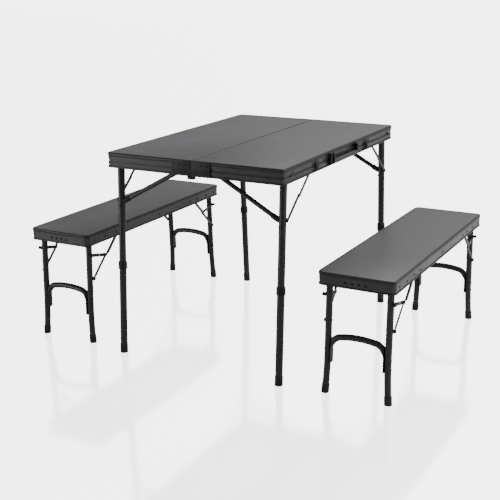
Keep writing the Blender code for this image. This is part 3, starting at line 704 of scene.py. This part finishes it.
def makeLegPivot(leg, label, side, reach):
    # a spacer between leg and rim, a steel plate on the rim, and a bearing at the seam end
    plan, half = tableLeg, "half_" + sideNames[side]
    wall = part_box("table_rim_" + sideNames[side])
    gap = max(abs(wall[0][0]), abs(wall[1][0])) - rimPlan["pinGap"] - reach
    spacerLine = [(0.006, 0.0112), (0.0075, 0.0118), (0.0075, gap - 0.0030), (0.006, gap - 0.0024)]
    spacer = turned(spacerLine, leg.pivot, leg.out, 28)
    makePiece("pivotSpacer_" + label, [spacer], blackPlastic, "leg_" + label)
    axes = (0, side, 0), (0, 0, 1)
    spot = leg.pivot + leg.out * (gap - plan["plateThin"])
    steel = slab((-0.017, -0.014), (0.017, 0.013), 0.005, easedSteps(plan["plateThin"], 0.0004), spot, *axes)
    spot = leg.pivot.copy()
    spot[0] = side * 0.0030
    block = slab((-0.017, -0.016), (0.017, 0.0145), 0.004, easedSteps(plan["bearing"], 0.0010), spot, *axes)
    makePiece("pivotPlate_" + label, [steel], zinc, half)
    makePiece("seamBearing_" + label, [block], blackPlastic, half)


def makeTableLeg(side, end):
    label = labelOf(side, end)
    leg = LegFrame(joints["leg_fold_" + label]["pos_m"], side, end, tableLeg["splay"])
    reach = leg.pivot[0] * side
    crossEnd = reach - tableLeg["crossGap"]
    makeTableTubes(leg, label, crossEnd)
    makeBrace(leg, label, reach, crossEnd)
    makeLegPivot(leg, label, side, reach)


def linkShape(start, stop, width, thickness, planeX, ease=0.0004):
    # a flat bar with round ends between two points, lying in the plane X = planeX
    start, stop = np.array(start, float), np.array(stop, float)
    start[0] = stop[0] = planeX
    along = unit(stop - start)
    across = np.cross([1.0, 0.0, 0.0], along)
    outline = stadium(np.linalg.norm(stop - start), width)
    return plate(outline, easedSteps(thickness, ease), start - [thickness / 2, 0, 0], along, across)


def stayMiddle(lowerNode, foot, width, end):
    # the middle rivet lies half a width inside the far corner of the lower link's box
    low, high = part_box(lowerNode)
    y = (high[1] - width / 2) if end < 0 else (low[1] + width / 2)
    return np.array([foot[0], y, high[2] - width / 2])


tableStay = {"width": 0.012, "thin": 0.0020, "spine": (0.0008, 0.0012), "spineWidth": 0.0080}


def makeTableStay(side, end):
    label = labelOf(side, end)
    low, up = "stay_low_" + label, "stay_up_" + label
    foot = np.array(joints[low + "_pivot"]["pos_m"])
    head = np.array(joints[up + "_pivot"]["pos_m"])
    middle = stayMiddle(f"stay_{label}_lower", foot, tableStay["width"], end)
    out = np.array([side, 0.0, 0.0])
    lower = linkShape(foot, middle, tableStay["width"], tableStay["thin"], foot[0])
    # raised spines on the faces that look away from the other link
    inSpine, outSpine = tableStay["spine"]
    reach = (middle - foot) * 0.12
    plane = foot[0] - side * (tableStay["thin"] + inSpine) / 2
    rib = linkShape(foot + reach, middle - reach, tableStay["spineWidth"], inSpine, plane, 0.0005)
    makePiece("stayLower_" + label, [lower, rib], tubeCoat, low, [f"stay_{label}_lower"])
    upperMiddle = middle.copy()
    upperMiddle[0] = head[0]
    upper = linkShape(upperMiddle, head, tableStay["width"] - 0.001, tableStay["thin"], head[0])
    reach = (head - upperMiddle) * 0.09
    plane = head[0] + side * (tableStay["thin"] + outSpine) / 2
    rib = linkShape(upperMiddle + reach, head - reach, tableStay["spineWidth"], outSpine, plane, 0.0004)
    makePiece("stayUpper_" + label, [upper, rib], zinc, up, [f"stay_{label}_upper"])
    rivet = headShape("stay", middle - out * 0.0008, -out)
    shank = turned([(0.0022, -0.0016), (0.0022, 0.0036)], middle, out, 16)
    makePiece("stayRivet_" + label, [rivet, shank], rivetSteel, low)
    # the lower pivot: a black lug on the leg, and a stud that carries the link
    tubeFace = abs(joints["leg_fold_" + label]["pos_m"][0]) + 0.006
    depth = abs(foot[0]) - 0.0012 - tubeFace
    spot = foot.copy()
    spot[0] = side * tubeFace
    lug = turned([(0.0068, 0.0), (0.0074, 0.0008), (0.0074, depth - 0.0012), (0.0064, depth)], spot, out, 28)
    stud = headShape("stayStud", foot + out * 0.0008, out)
    makePiece("stayLug_" + label, [lug, stud], blackPlastic, "leg_" + label)


for side in (1, -1):
    for end in (-1, 1):
        makeTableLeg(side, end)
        makeTableStay(side, end)
print("table legs ready")


benchLeg = {
    "splay": math.radians(2.3), "pivotHeight": 0.376, "offset": 0.0985, "radius": 0.0108,
    "crossRadius": 0.0090, "flare": 0.006, "flareStart": 0.250, "flarePower": 1.6, "footHeight": 0.028,
    "footRadius": 0.0125, "archRadius": 0.0102, "archCrown": 0.1830, "archEnd": 0.274, "archBend": 0.027,
    "archShoulder": 0.0600, "archDroop": 0.0060, "archPress": (0.196, 0.030), "flatten": 0.80, "widen": 0.30,
    "archBolts": (-0.234, -0.262), "knob": -0.056, "knobSide": 0.0075, "stayBolt": -0.138, "halfWidth": 0.125,
}


def legCurve(up):  # how far out the leg has flared at a height: a power of the share of the flared part
    plan = benchLeg
    reach = plan["pivotHeight"] / math.cos(plan["splay"]) + 0.002 - plan["flareStart"]
    share = np.clip((-np.asarray(up) - plan["flareStart"]) / reach, 0, 1)
    return plan["flare"] * share ** plan["flarePower"]


def archShape(frameAt, out):
    # a flat crown that droops to round shoulders, then ends pressed flat against the legs
    plan = benchLeg
    radius = plan["archRadius"]
    shoulder, crown, bend = plan["archShoulder"], plan["archCrown"], plan["archBend"]
    over = np.linspace(0, shoulder, 12)
    droop = plan["archDroop"] * (over / shoulder) ** 2
    crownLine = np.stack([over, -crown - droop], -1)
    slope = math.degrees(math.atan(2 * plan["archDroop"] / shoulder))
    square = np.array([math.sin(math.radians(slope)), math.cos(math.radians(slope))])
    turn = arcPoints(crownLine[-1] - bend * square, bend, 90 - slope, 0, 12)
    drop = np.stack([np.full(12, turn[-1][0]), np.linspace(turn[-1][1] - 0.003, -plan["archEnd"], 12)], -1)
    half = np.concatenate([crownLine, turn[1:], drop])
    press = np.clip((-half[:, 1] - plan["archPress"][0]) / plan["archPress"][1], 0, 1)
    press = press * press * (3 - 2 * press)
    faceOut = plan["offset"] - plan["radius"] + legCurve(half[:, 1])
    flatten, widen = plan["flatten"], plan["widen"]
    half[:, 0] = np.minimum(half[:, 0] + press, faceOut - radius * (1 - flatten * press) + 0.0004)
    whole = np.concatenate([half[::-1] * [-1, 1], half[1:]])
    pressed = np.concatenate([press[::-1], press[1:]])
    ring = circle(radius, 28)
    section = ring[None] * np.stack([1 - flatten * pressed, 1 + widen * pressed], -1)[:, None]
    return carry(frameAt(whole[:, 0], 0, whole[:, 1]), section, out)


def makeBenchLegs(side, end):
    plan, label = benchLeg, labelOf(side, end)
    offset, radius = plan["offset"], plan["radius"]
    body = "bench_leg_pair_" + label
    leg = LegFrame(joints["bench_leg_fold_" + label]["pos_m"], 1, end, plan["splay"])
    full = leg.pivot[2] / math.cos(plan["splay"])
    straight = np.linspace(0.0, -plan["flareStart"], 4)
    flared = np.linspace(-plan["flareStart"] - 0.012, -full + 0.005, 12)
    up = np.concatenate([[0.0106, 0.0100], straight, flared])
    knobShape = [
        (0.0040, 0.0), (0.0040, 0.0068), (0.0056, 0.0074), (0.0062, 0.0086), (0.0062, 0.0108),
        (0.0053, 0.0122), (0.0026, 0.0127),
    ]
    tubes, caps, heads, knobs = [], [], [], []
    for hand in (1, -1):
        path = leg.at(hand * (offset + legCurve(up)), 0, up)
        section = np.broadcast_to(circle(radius, 40), (len(up), 40, 2)).copy()
        section[0] *= 0.93
        tubes.append(carry(path, section, leg.inward))
        tip = leg.at(hand * (offset + legCurve(-full)), 0, -full)
        ankle = leg.at(hand * (offset + legCurve(-full + 0.03)), 0, -full + 0.03)
        caps.append(footCap(tip, ankle - tip, plan["footRadius"], plan["footHeight"]))
        out = leg.out * hand
        for height in plan["archBolts"]:
            outside = hand * (offset + radius - 0.0004 + legCurve(height))
            inside = hand * (offset - radius - 0.0034 + legCurve(height))
            heads.append(headShape("bolt", leg.at(outside, 0, height), out, 20))
            heads.append(headShape("boltEnd", leg.at(inside, 0, height), -out, 20))
        for height in (plan["knob"], plan["stayBolt"]):
            spot = leg.at(hand * (offset - radius + 0.0004), 0, height)
            heads.append(headShape("legStud", spot, -out, 20))
        # the knob sits towards the leg's outer flank, and the folded upper stay link passes beside it
        spot = leg.at(hand * (offset + radius - 0.0036), -plan["knobSide"], plan["knob"])
        knobs.append(turned(knobShape, spot, out, 28))
    cross = turned([(plan["crossRadius"], -offset), (plan["crossRadius"], offset)], leg.pivot, (1, 0, 0), 36)
    makePiece("benchTubes_" + label, tubes + [cross], tubeCoat, body, ["bench_legs_" + label])
    makePiece("benchFootCaps_" + label, caps, rubber, body, floor=0.0)
    arch = archShape(leg.at, leg.inward)
    makePiece("benchArchTube_" + label, [arch], tubeCoat, body, ["bench_arch_" + label])
    makePiece("benchBolts_" + label, heads, rivetSteel, body)
    makePiece("lockKnobs_" + label, knobs, blackPlastic, body)
    # pivot pins: spacers from the legs to the rim walls
    reach = plan["halfWidth"] - rimPlan["pinGap"]
    face = offset + radius
    spacerLine = [(0.005, face - 0.001), (0.0062, face), (0.0062, reach - 0.0006), (0.005, reach)]
    spacers = [turned(spacerLine, leg.pivot, (hand, 0, 0), 24) for hand in (1, -1)]
    makePiece("benchSpacers_" + label, spacers, blackPlastic, body)


benchStay = {
    "width": 0.011, "thin": 0.0020, "planes": (0.1116, 0.1140), "tabWidth": 0.0120, "tabThin": 0.0016,
    "spine": (0.0010, 0.0040), "spineWidth": 0.0090, "lugAt": 0.1040, "discShare": 0.42,
}


def makeBenchStays(side, end):
    plan, label = benchStay, labelOf(side, end)
    low, up, legs = "bench_stays_low_" + label, "bench_stays_up_" + label, "bench_leg_pair_" + label
    foot = np.array(joints[low + "_pivot"]["pos_m"])
    head = np.array(joints[up + "_pivot"]["pos_m"])
    middle = stayMiddle(f"bench_stay_{label}_a_lower", foot, plan["width"], end)
    centre = foot[0]
    # the lock bar reaches from the middle rivet to the knob on the leg, and rides on the lower link
    leg = LegFrame(joints["bench_leg_fold_" + label]["pos_m"], 1, end, benchLeg["splay"])
    knob = leg.at(0, -benchLeg["knobSide"], benchLeg["knob"])
    width, thin, rib = plan["width"], plan["thin"], plan["spineWidth"]
    inSpine, outSpine = plan["spine"]
    lugLine = [(0.0060, 0.0), (0.0066, 0.0008), (0.0066, 0.0058), (0.0060, 0.0064)]
    discLine = [(0.0060, 0.0), (0.0064, 0.0006), (0.0064, 0.0016), (0.0056, 0.0022)]
    lowers, uppers, rivets, lugs, tabs, discs = [], [], [], [], [], []
    for hand in (1, -1):
        out = np.array([hand, 0.0, 0.0])
        inner, outer = (centre + hand * plane for plane in plan["planes"])
        lowers.append(linkShape(foot, middle, width, thin, inner))
        uppers.append(linkShape(middle, head, width - 0.001, thin, outer))
        # raised spines on the faces that look away from the other link
        reach = middle - foot
        plane = inner - hand * (thin + inSpine) / 2
        lowers.append(linkShape(foot + reach * 0.12, middle - reach * 0.25, rib, inSpine, plane, 0.0003))
        reach = head - middle
        plane = outer + hand * (thin + outSpine) / 2
        uppers.append(linkShape(middle + reach * 0.10, head - reach * 0.10, rib, outSpine, plane, 0.0005))
        spot = np.array([inner, middle[1], middle[2]])
        rivets.append(headShape("linkInner", spot - out * 0.0008, -out, 20))
        rivets.append(turned([(0.0020, -0.0010), (0.0020, 0.0036)], spot, out, 14))
        rivets.append(headShape("linkOuter", spot + out * 0.0034, out, 20))
        spot = np.array([centre + hand * plan["lugAt"], foot[1], foot[2]])
        lugs.append(turned(lugLine, spot, out, 24))
        lugs.append(headShape("lug", np.array([inner + hand * 0.0008, foot[1], foot[2]]), out, 22))
        plane = centre + hand * (plan["planes"][0] - 0.0020)
        tabs.append(linkShape(middle, knob, plan["tabWidth"], plan["tabThin"], plane))
        spot = middle + (knob - middle) * plan["discShare"]
        spot[0] = plane
        discs.append(turned(discLine, spot, out, 28))
    nodes = [f"bench_stay_{label}_{key}_{part}" for part in ("lower", "upper") for key in "ab"]
    makePiece("benchStayLower_" + label, lowers, tubeCoat, low, nodes[:2])
    makePiece("benchStayUpper_" + label, uppers, zinc, up, nodes[2:])
    makePiece("benchStayRivets_" + label, rivets, rivetSteel, low)
    makePiece("benchStayLugs_" + label, lugs, blackPlastic, legs)
    makePiece("lockBars_" + label, tabs, blackPlastic, low)
    makePiece("lockDiscs_" + label, discs, greyPlastic, low)


for side in (1, -1):
    for end in (-1, 1):
        makeBenchLegs(side, end)
        makeBenchStays(side, end)
print("bench legs ready")


# ---- fittings on the rims ----

rivetRows = {
    "size": (0.0048, 0.0019), "flange": 0.0003,
    "table": (-0.388, -0.2146, -0.162, 0.162, 0.2146, 0.388), "tableDrop": 0.020, "tablePin": 0.0056,
    "bench": (-0.340, -0.275, -0.220, 0.0, 0.220, 0.275, 0.340), "benchDrop": 0.0250, "benchPin": 0.0050,
    "benchEnd": (-0.0323, -0.0108, 0.0108, 0.0323),
}


def makeRimRivets(kind, side):
    # rows on the long faces with a bigger head at each leg's pivot, and on a bench a row at each end too
    radius, height = rivetRows["size"]
    flange = rivetRows["flange"]
    inset = rimPlan["recess"] + flange
    body = {"table": "half_", "bench": "bench_"}[kind] + sideNames[side]
    fold = {"table": "leg_fold_", "bench": "bench_leg_fold_"}[kind]
    node = f"{kind}_rim_{sideNames[side]}"
    low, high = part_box(node)
    level = high[2] - rivetRows[kind + "Drop"]
    faces = [(low[0], -1), (high[0], 1)]
    if kind == "table":
        faces = [(side * max(abs(low[0]), abs(high[0])), side)]
    pivot = joints[f"{fold}{sideNames[side]}_far"]["pos_m"]
    spots = [(y, level, radius) for y in rivetRows[kind]]
    spots += [(sign * pivot[1], pivot[2], rivetRows[kind + "Pin"]) for sign in (1, -1)]
    heads = []
    for x, way in faces:
        for y, z, size in spots:
            spot = (x - way * inset, y, z)
            heads.append(turned(dome(size, height + flange, flange), spot, (way, 0, 0), 24))
    if kind == "bench":
        middle = (low[0] + high[0]) / 2
        for sign in (1, -1):
            for x in rivetRows["benchEnd"]:
                spot = (middle + x, sign * (high[1] - inset), level)
                heads.append(turned(dome(radius, height + flange, flange), spot, (0, sign, 0), 24))
    makePiece(node + ".rivets", heads, blackHead, body)


def screwHead(spot, way, radius=0.0034, height=0.0012):
    # pan head with a rounded shoulder and a sunk round socket
    profile = [
        (radius, 0.0), (radius, height * 0.5), (radius * 0.86, height * 0.9), (radius * 0.5, height),
        (radius * 0.40, height), (radius * 0.36, height * 0.35), (radius * 0.10, height * 0.30),
    ]
    return turned(profile, spot, way, 24)


hingePlan = {
    "corner": 0.005, "smallCorner": 0.0008, "thin": 0.0022, "seamGap": 0.0007, "headHeight": 0.0008,
    "knuckle": 0.0115, "knuckleStep": 0.0118, "arm": (0.0053, 0.0123), "tongueThin": 0.0021,
    "screwsX": (0.020, 0.040, 0.060), "screwsZ": (0.013, 0.037),
}


def endSlab(low, high, corners, end, inner, depth, ease, arcSteps):
    # an upright slab on a table end, from inner outwards by depth; on these axes a slab grows towards -Y
    origin = (0, inner + depth if end > 0 else -inner, 0)
    return slab(low, high, corners, easedSteps(depth, ease), origin, (1, 0, 0), (0, 0, 1), arcSteps)


def makeHinge(side, end):
    plan, label = hingePlan, labelOf(side, end)
    node, body = "hinge_leaf_" + label, "half_" + sideNames[side]
    low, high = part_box(node)
    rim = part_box("table_rim_" + sideNames[side])
    face, thin = abs(rim[1][1]) + 0.0003, plan["thin"]
    bottom, top = rim[0][2], rim[1][2] - 0.0005
    axisZ = joints["case_fold"]["pos_m"][2]
    way = np.array([0.0, float(end), 0.0])
    small, big = plan["smallCorner"], plan["corner"]
    outer = max(abs(low[0]), abs(high[0]))
    radii = (big, small, small, big)
    leaf = endSlab((plan["seamGap"], bottom), (outer, top), radii, end, face, thin, 0.0006, 8)
    # the two halves' knuckles lie one behind the other on the hinge line
    order = 0 if side > 0 else 1
    start = face + thin - order * plan["knuckleStep"]
    stop = start - plan["knuckle"]
    roll = [
        (0.0030, start), (0.0046, start), (0.0050, start - 0.0005), (0.0050, stop + 0.0005),
        (0.0046, stop), (0.0030, stop),
    ]
    knuckle = turned(roll, (0, 0, axisZ), way, 32)
    left, right = plan["arm"]
    armLength = face + thin - stop
    arm = endSlab((left, axisZ - 0.0045), (right, axisZ + 0.0045), 0.001, end, stop, armLength, 0.0005, 4)
    tongueLow, tongueHigh = (left, axisZ - 0.0040), (right, bottom + 0.004)
    tongue = endSlab(tongueLow, tongueHigh, 0.0006, end, face, plan["tongueThin"], 0.0003, 4)
    webLow, webHigh = (0.0008, axisZ - 0.0020), (0.0073, axisZ + 0.0020)
    web = endSlab(webLow, webHigh, 0.0004, end, stop, plan["knuckle"], 0.0003, 3)
    shapes = [mirrored(shape, side) for shape in (leaf, arm, tongue, web, knuckle)]
    makePiece(node + ".leaf", shapes, blackPlastic, body, [node], sharp=38)
    headHeight, depth = plan["headHeight"], end * (face + thin - 0.0003)
    places = [(side * x, depth, bottom + z) for z in plan["screwsZ"] for x in plan["screwsX"]]
    screws = [screwHead(place, way, height=headHeight) for place in places]
    if side > 0:
        pin = dome(0.0030, headHeight - 0.0002, 0.0002)
        screws.append(turned(pin, (0, end * (start - 0.0002), axisZ), way, 20))
    makePiece("hingeScrews_" + label, screws, blackHead, body)


latchPlan = {
    "base": (0.036, 0.034), "baseThin": 0.0020, "stopThin": 0.0023, "bar": (0.0130, 0.0120),
    "stem": (0.0085, 0.0140), "wing": (0.0235, 0.0090, 0.0200), "hook": (0.0085, 0.0265, 0.0018),
    "wire": 0.0008,
}


def makeLatch(name):
    plan, axes = latchPlan, ((0, 1, 0), (0, 0, 1))
    pivot = np.array(joints[name + "_swing"]["pos_m"])
    y, face = pivot[1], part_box("table_rim_right")[1][0]
    onRim = (face - rimPlan["recess"], y, pivot[2])
    # base: a grey plate in the rim's recess, with the two ears of the hinge
    width, tall = plan["base"]
    steps = easedSteps(plan["baseThin"], 0.0005)
    base = slab((-width / 2, -0.004), (width / 2, tall - 0.004), 0.004, steps, onRim, *axes)
    earLine = [(0.0030, 0.0), (0.0034, 0.0004), (0.0034, 0.0018), (0.0030, 0.0022)]
    ears = [turned(earLine, (pivot[0], y + way * 0.0152, pivot[2]), (0, way, 0), 24) for way in (1, -1)]
    makePiece(name + ".base", [base] + ears, rimCoat, "half_right")
    # stop plate: a black bar behind the lever that reaches out on both sides of it
    reach, low, high = plan["wing"]
    stop = slab((-reach, low), (reach, high), 0.003, easedSteps(plan["stopThin"], 0.0005), onRim, *axes)
    makePiece(name + ".stop", [stop], blackPlastic, "half_right")
    # lever: a T with a broad thumb bar over a narrow stem, on the hinge barrel
    barHalf, barTall = plan["bar"]
    stemHalf, stemTall = plan["stem"]
    bow = [(0.0008, 0.0), (0.0, 0.0008), (0.0, 0.0030), (0.0010, 0.0044), (0.0028, 0.0052)]
    origin = (pivot[0] - 0.0028, y, pivot[2])
    bar = slab((-barHalf, stemTall - 0.001), (barHalf, stemTall + barTall), 0.0035, bow, origin, *axes)
    stem = slab((-stemHalf, 0.0), (stemHalf, stemTall + 0.002), 0.0015, bow[:4], origin, *axes, 4)
    barrelLine = [(0.0024, -0.0150), (0.0030, -0.0146), (0.0030, 0.0146), (0.0024, 0.0150)]
    barrel = turned(barrelLine, pivot, (0, 1, 0), 28)
    makePiece(name + ".lever", [bar, stem, barrel], blackPlastic, name, [name], sharp=40)
    half, tall, bend = plan["hook"]
    corners = [arcPoints((half, tall), bend, 0, 90, 5), arcPoints((-half, tall), bend, 90, 180, 5)]
    path = np.concatenate([[(half, 0.002)], *corners, [(-half, 0.002)]])
    wire = np.column_stack([np.full(len(path), pivot[0] - 0.0012), y + path[:, 0], pivot[2] + path[:, 1]])
    makePiece(name + ".hook", [carry(wire, circle(plan["wire"], 14), (1, 0, 0))], zinc, name)


def makeKeeper(name, latchName):
    # on the left half: a hooked catch plate that the latch closes on when the case is shut
    y = joints[latchName + "_swing"]["pos_m"][1]
    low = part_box("table_rim_left")[0]
    axes = (0, -1, 0), (0, 0, 1)
    steps = easedSteps(latchPlan["baseThin"], 0.0005)
    base = slab((-0.015, 0.004), (0.015, 0.034), 0.004, steps, (low[0] + rimPlan["recess"], y, low[2]), *axes)
    bow = [(0.0, 0.0), (0.0, 0.0040), (0.0008, 0.0050)]
    hook = slab((-0.009, 0.009), (0.009, 0.015), 0.002, bow, (low[0] + 0.0010, y, low[2]), *axes, 5)
    makePiece(name, [base, hook], blackPlastic, "half_left")
    places = [(low[0] + 0.0004, y + way * 0.009, low[2] + 0.026) for way in (1, -1)]
    screws = [screwHead(place, (-1, 0, 0), 0.0028, 0.0010) for place in places]
    makePiece(name + ".screws", screws, rivetSteel, "half_left")


handlePlan = {
    "gripThick": 0.0064, "gripTall": 0.0074, "arm": 0.0080, "fingers": 0.06, "hollows": 5,
    "rows": 81, "sides": 36, "roundness": 0.7,
}


def makeHandle():
    node, plan = "carry_handle", handlePlan
    low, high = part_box(node)
    pivot = np.array(joints["handle_swing"]["pos_m"])
    half = (high[1] - low[1]) / 2 - 0.004
    gripZ = low[2] + 0.0075
    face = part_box("table_rim_right")[1][0]
    # grip: a rounded-square section along Y with finger hollows, narrowing at both ends
    along = np.linspace(-half, half, plan["rows"])
    wave = 0.5 + 0.5 * np.cos(along / half * plan["hollows"] * np.pi)
    swell = 1.0 - plan["fingers"] * wave * (np.abs(along) < half * 0.8)
    squash = np.clip((half - np.abs(along)) / 0.006, 0, 1) ** 0.5
    ring = circle(1.0, plan["sides"])
    oval = np.sign(ring) * np.abs(ring) ** plan["roundness"]
    size = swell * (0.75 + 0.25 * squash)
    section = oval[None] * [plan["gripThick"], plan["gripTall"]] * size[:, None, None]
    path = np.stack([np.full(len(along), pivot[0]), pivot[1] + along, np.full(len(along), gripZ)], -1)
    grip = carry(path, section, (0, 0, 1))
    makePiece(node + ".grip", [grip], gripPlastic, node, [node], sharp=40)
    arms, bosses, screws = [], [], []
    for way in (1, -1):
        inner = pivot[1] + way * half - (plan["arm"] if way > 0 else 0)
        origin = (pivot[0], inner + plan["arm"], pivot[2])
        low, high = (-0.0058, gripZ - pivot[2] - 0.0040), (0.0058, 0.0055)
        steps = easedSteps(plan["arm"], 0.0012)
        arms.append(slab(low, high, (0.0055, 0.0055, 0.003, 0.003), steps, origin, (1, 0, 0), (0, 0, 1), 8))
        # brackets stand on the rim outside the arms: a tall block with a round boss for the pin
        spot = np.array([face - rimPlan["recess"], pivot[1] + way * (half + 0.0085), pivot[2] - 0.0130])
        steps = [(0.0, 0.0), (0.0, 0.0100), (0.0012, 0.0122), (0.0030, 0.0130)]
        bosses.append(slab((-0.0060, -0.0200), (0.0060, 0.0190), 0.003, steps, spot, (0, 1, 0), (0, 0, 1)))
        spot = spot + [0.0, -way * 0.0170, 0.0]
        bossLine = [(0.0078, 0.0), (0.0078, 0.0022), (0.0070, 0.0030), (0.0040, 0.0032)]
        bosses.append(turned(bossLine, spot, (1, 0, 0), 32))
        screws.append(screwHead(spot + [0.0030, 0.0, 0.0], (1, 0, 0), 0.0036, 0.0012))
    makePiece(node + ".arms", arms, blackPlastic, node, sharp=40)
    makePiece(node + ".brackets", bosses, blackPlastic, "half_right")
    makePiece(node + ".bracketScrews", screws, rivetSteel, "half_right")


for side in (1, -1):
    for kind in ("table", "bench"):
        makeRimRivets(kind, side)
    for end in (-1, 1):
        makeHinge(side, end)
for name in ("latch_near", "latch_far"):
    makeLatch(name)
    makeKeeper("keeper_" + name.split("_")[1], name)
makeHandle()
print("fittings ready")


# ---- camera, light and floor ----

viewPlan = {"at": (1.5864, -2.9468, 1.2887), "yaw": 28.91, "pitch": -16.61, "roll": -0.70, "lens": 69.56}


def makeCamera():
    camera = bpy.data.objects.new("camera", bpy.data.cameras.new("camera"))
    bpy.context.scene.collection.objects.link(camera)
    camera.data.lens, camera.data.sensor_width = viewPlan["lens"], 36
    camera.data.clip_end = 200
    yaw = Matrix.Rotation(math.radians(viewPlan["yaw"]), 4, "Z")
    pitch = Matrix.Rotation(math.radians(90 + viewPlan["pitch"]), 4, "X")
    roll = Matrix.Rotation(math.radians(viewPlan["roll"]), 4, "Z")
    camera.matrix_world = Matrix.Translation(viewPlan["at"]) @ yaw @ pitch @ roll
    bpy.context.scene.camera = camera


lightPlan = {
    "right": {"at": (3.4, 0.8, 2.2), "size": 2.6, "power": 130},
    "top": {"at": (0.4, 1.6, 3.6), "size": 3.0, "power": 100},
    "left": {"at": (-2.2, -2.6, 0.55), "size": 1.0, "power": 32},
}


def makeLights():
    for name, plan in lightPlan.items():
        lamp = bpy.data.lights.new("soft_" + name, "AREA")
        lamp.size, lamp.energy = plan["size"], plan["power"]
        holder = bpy.data.objects.new("soft_" + name, lamp)
        bpy.context.scene.collection.objects.link(holder)
        holder.visible_camera = False
        # a lamp shines along its own -Z, so its axes are built from the way it looks
        back = unit(np.array(plan["at"]) - [0.0, 0.0, 0.45])
        across = unit(np.cross([0, 0, 1], back))
        turn = Matrix(np.stack([across, np.cross(back, across), back], -1).tolist()).to_4x4()
        holder.matrix_world = Matrix.Translation(plan["at"]) @ turn


studioPlan = {
    "light": 0.62, "dim": 0.30, "towards": (0.62, 0.66, 0.42), "range": (-0.9, 0.9), "seen": 4.6,
    "reach": 30.0, "floorGlow": 3.2, "floorMirror": 3.8, "floorRough": 0.10,
}


def switchForCamera(tree, light, seen, target):
    # rays from the camera meet one shader, and all other light meets the other
    path = tree.nodes.new("ShaderNodeLightPath")
    mix = tree.nodes.new("ShaderNodeMixShader")
    tree.links.new(path.outputs["Is Camera Ray"], mix.inputs[0])
    tree.links.new(light.outputs[0], mix.inputs[1])
    tree.links.new(seen.outputs[0], mix.inputs[2])
    tree.links.new(mix.outputs[0], tree.nodes[target].inputs["Surface"])


def makeWorld():
    world = bpy.data.worlds.new("paleStudio")
    bpy.context.scene.world = world
    world.use_nodes = True
    tree = world.node_tree
    light = tree.nodes["Background"]
    light.inputs["Color"].default_value = (0.96, 0.97, 1.0, 1.0)
    # the studio is brightest to the right and behind, and dimmest in front: strength by the direction's share
    place = tree.nodes.new("ShaderNodeTexCoord")
    share = tree.nodes.new("ShaderNodeVectorMath")
    share.operation = "DOT_PRODUCT"
    share.inputs[1].default_value = studioPlan["towards"]
    level = tree.nodes.new("ShaderNodeMapRange")
    full = studioPlan["light"]
    for index, value in enumerate((*studioPlan["range"], full * studioPlan["dim"], full), 1):
        level.inputs[index].default_value = value
    tree.links.new(place.outputs["Generated"], share.inputs[0])
    tree.links.new(share.outputs["Value"], level.inputs[0])
    tree.links.new(level.outputs[0], light.inputs["Strength"])
    seen = tree.nodes.new("ShaderNodeBackground")
    seen.inputs["Strength"].default_value = studioPlan["seen"]
    seen.inputs["Color"].default_value = (1.0, 1.0, 1.0, 1.0)
    switchForCamera(tree, light, seen, "World Output")


def makeFloor():
    mesh = bpy.data.meshes.new("floor")
    reach = studioPlan["reach"]
    corners = [(-reach, -reach, 0), (reach, -reach, 0), (reach, reach, 0), (-reach, reach, 0)]
    mesh.from_pydata(corners, [], [(0, 1, 2, 3)])
    floor = bpy.data.objects.new("floor", mesh)
    bpy.context.scene.collection.objects.link(floor)
    material = bpy.data.materials.new("paleFloor")
    material.use_nodes = True
    tree = material.node_tree
    surface = tree.nodes["Principled BSDF"]
    surface.inputs["Base Color"].default_value = (0.75, 0.75, 0.75, 1.0)
    surface.inputs["Roughness"].default_value = 0.6
    # seen directly it is a glowing white with a faint mirror in it; for other light it is plain pale paint
    glow = tree.nodes.new("ShaderNodeEmission")
    glow.inputs["Strength"].default_value = studioPlan["floorGlow"]
    mirror = tree.nodes.new("ShaderNodeBsdfGlossy")
    mirror.inputs["Color"].default_value = (*(studioPlan["floorMirror"],) * 3, 1.0)
    mirror.inputs["Roughness"].default_value = studioPlan["floorRough"]
    both = tree.nodes.new("ShaderNodeAddShader")
    tree.links.new(glow.outputs[0], both.inputs[0])
    tree.links.new(mirror.outputs[0], both.inputs[1])
    switchForCamera(tree, surface, both, "Material Output")
    mesh.materials.append(material)


makeCamera()
makeLights()
makeWorld()
makeFloor()
print("camera, light and floor ready")
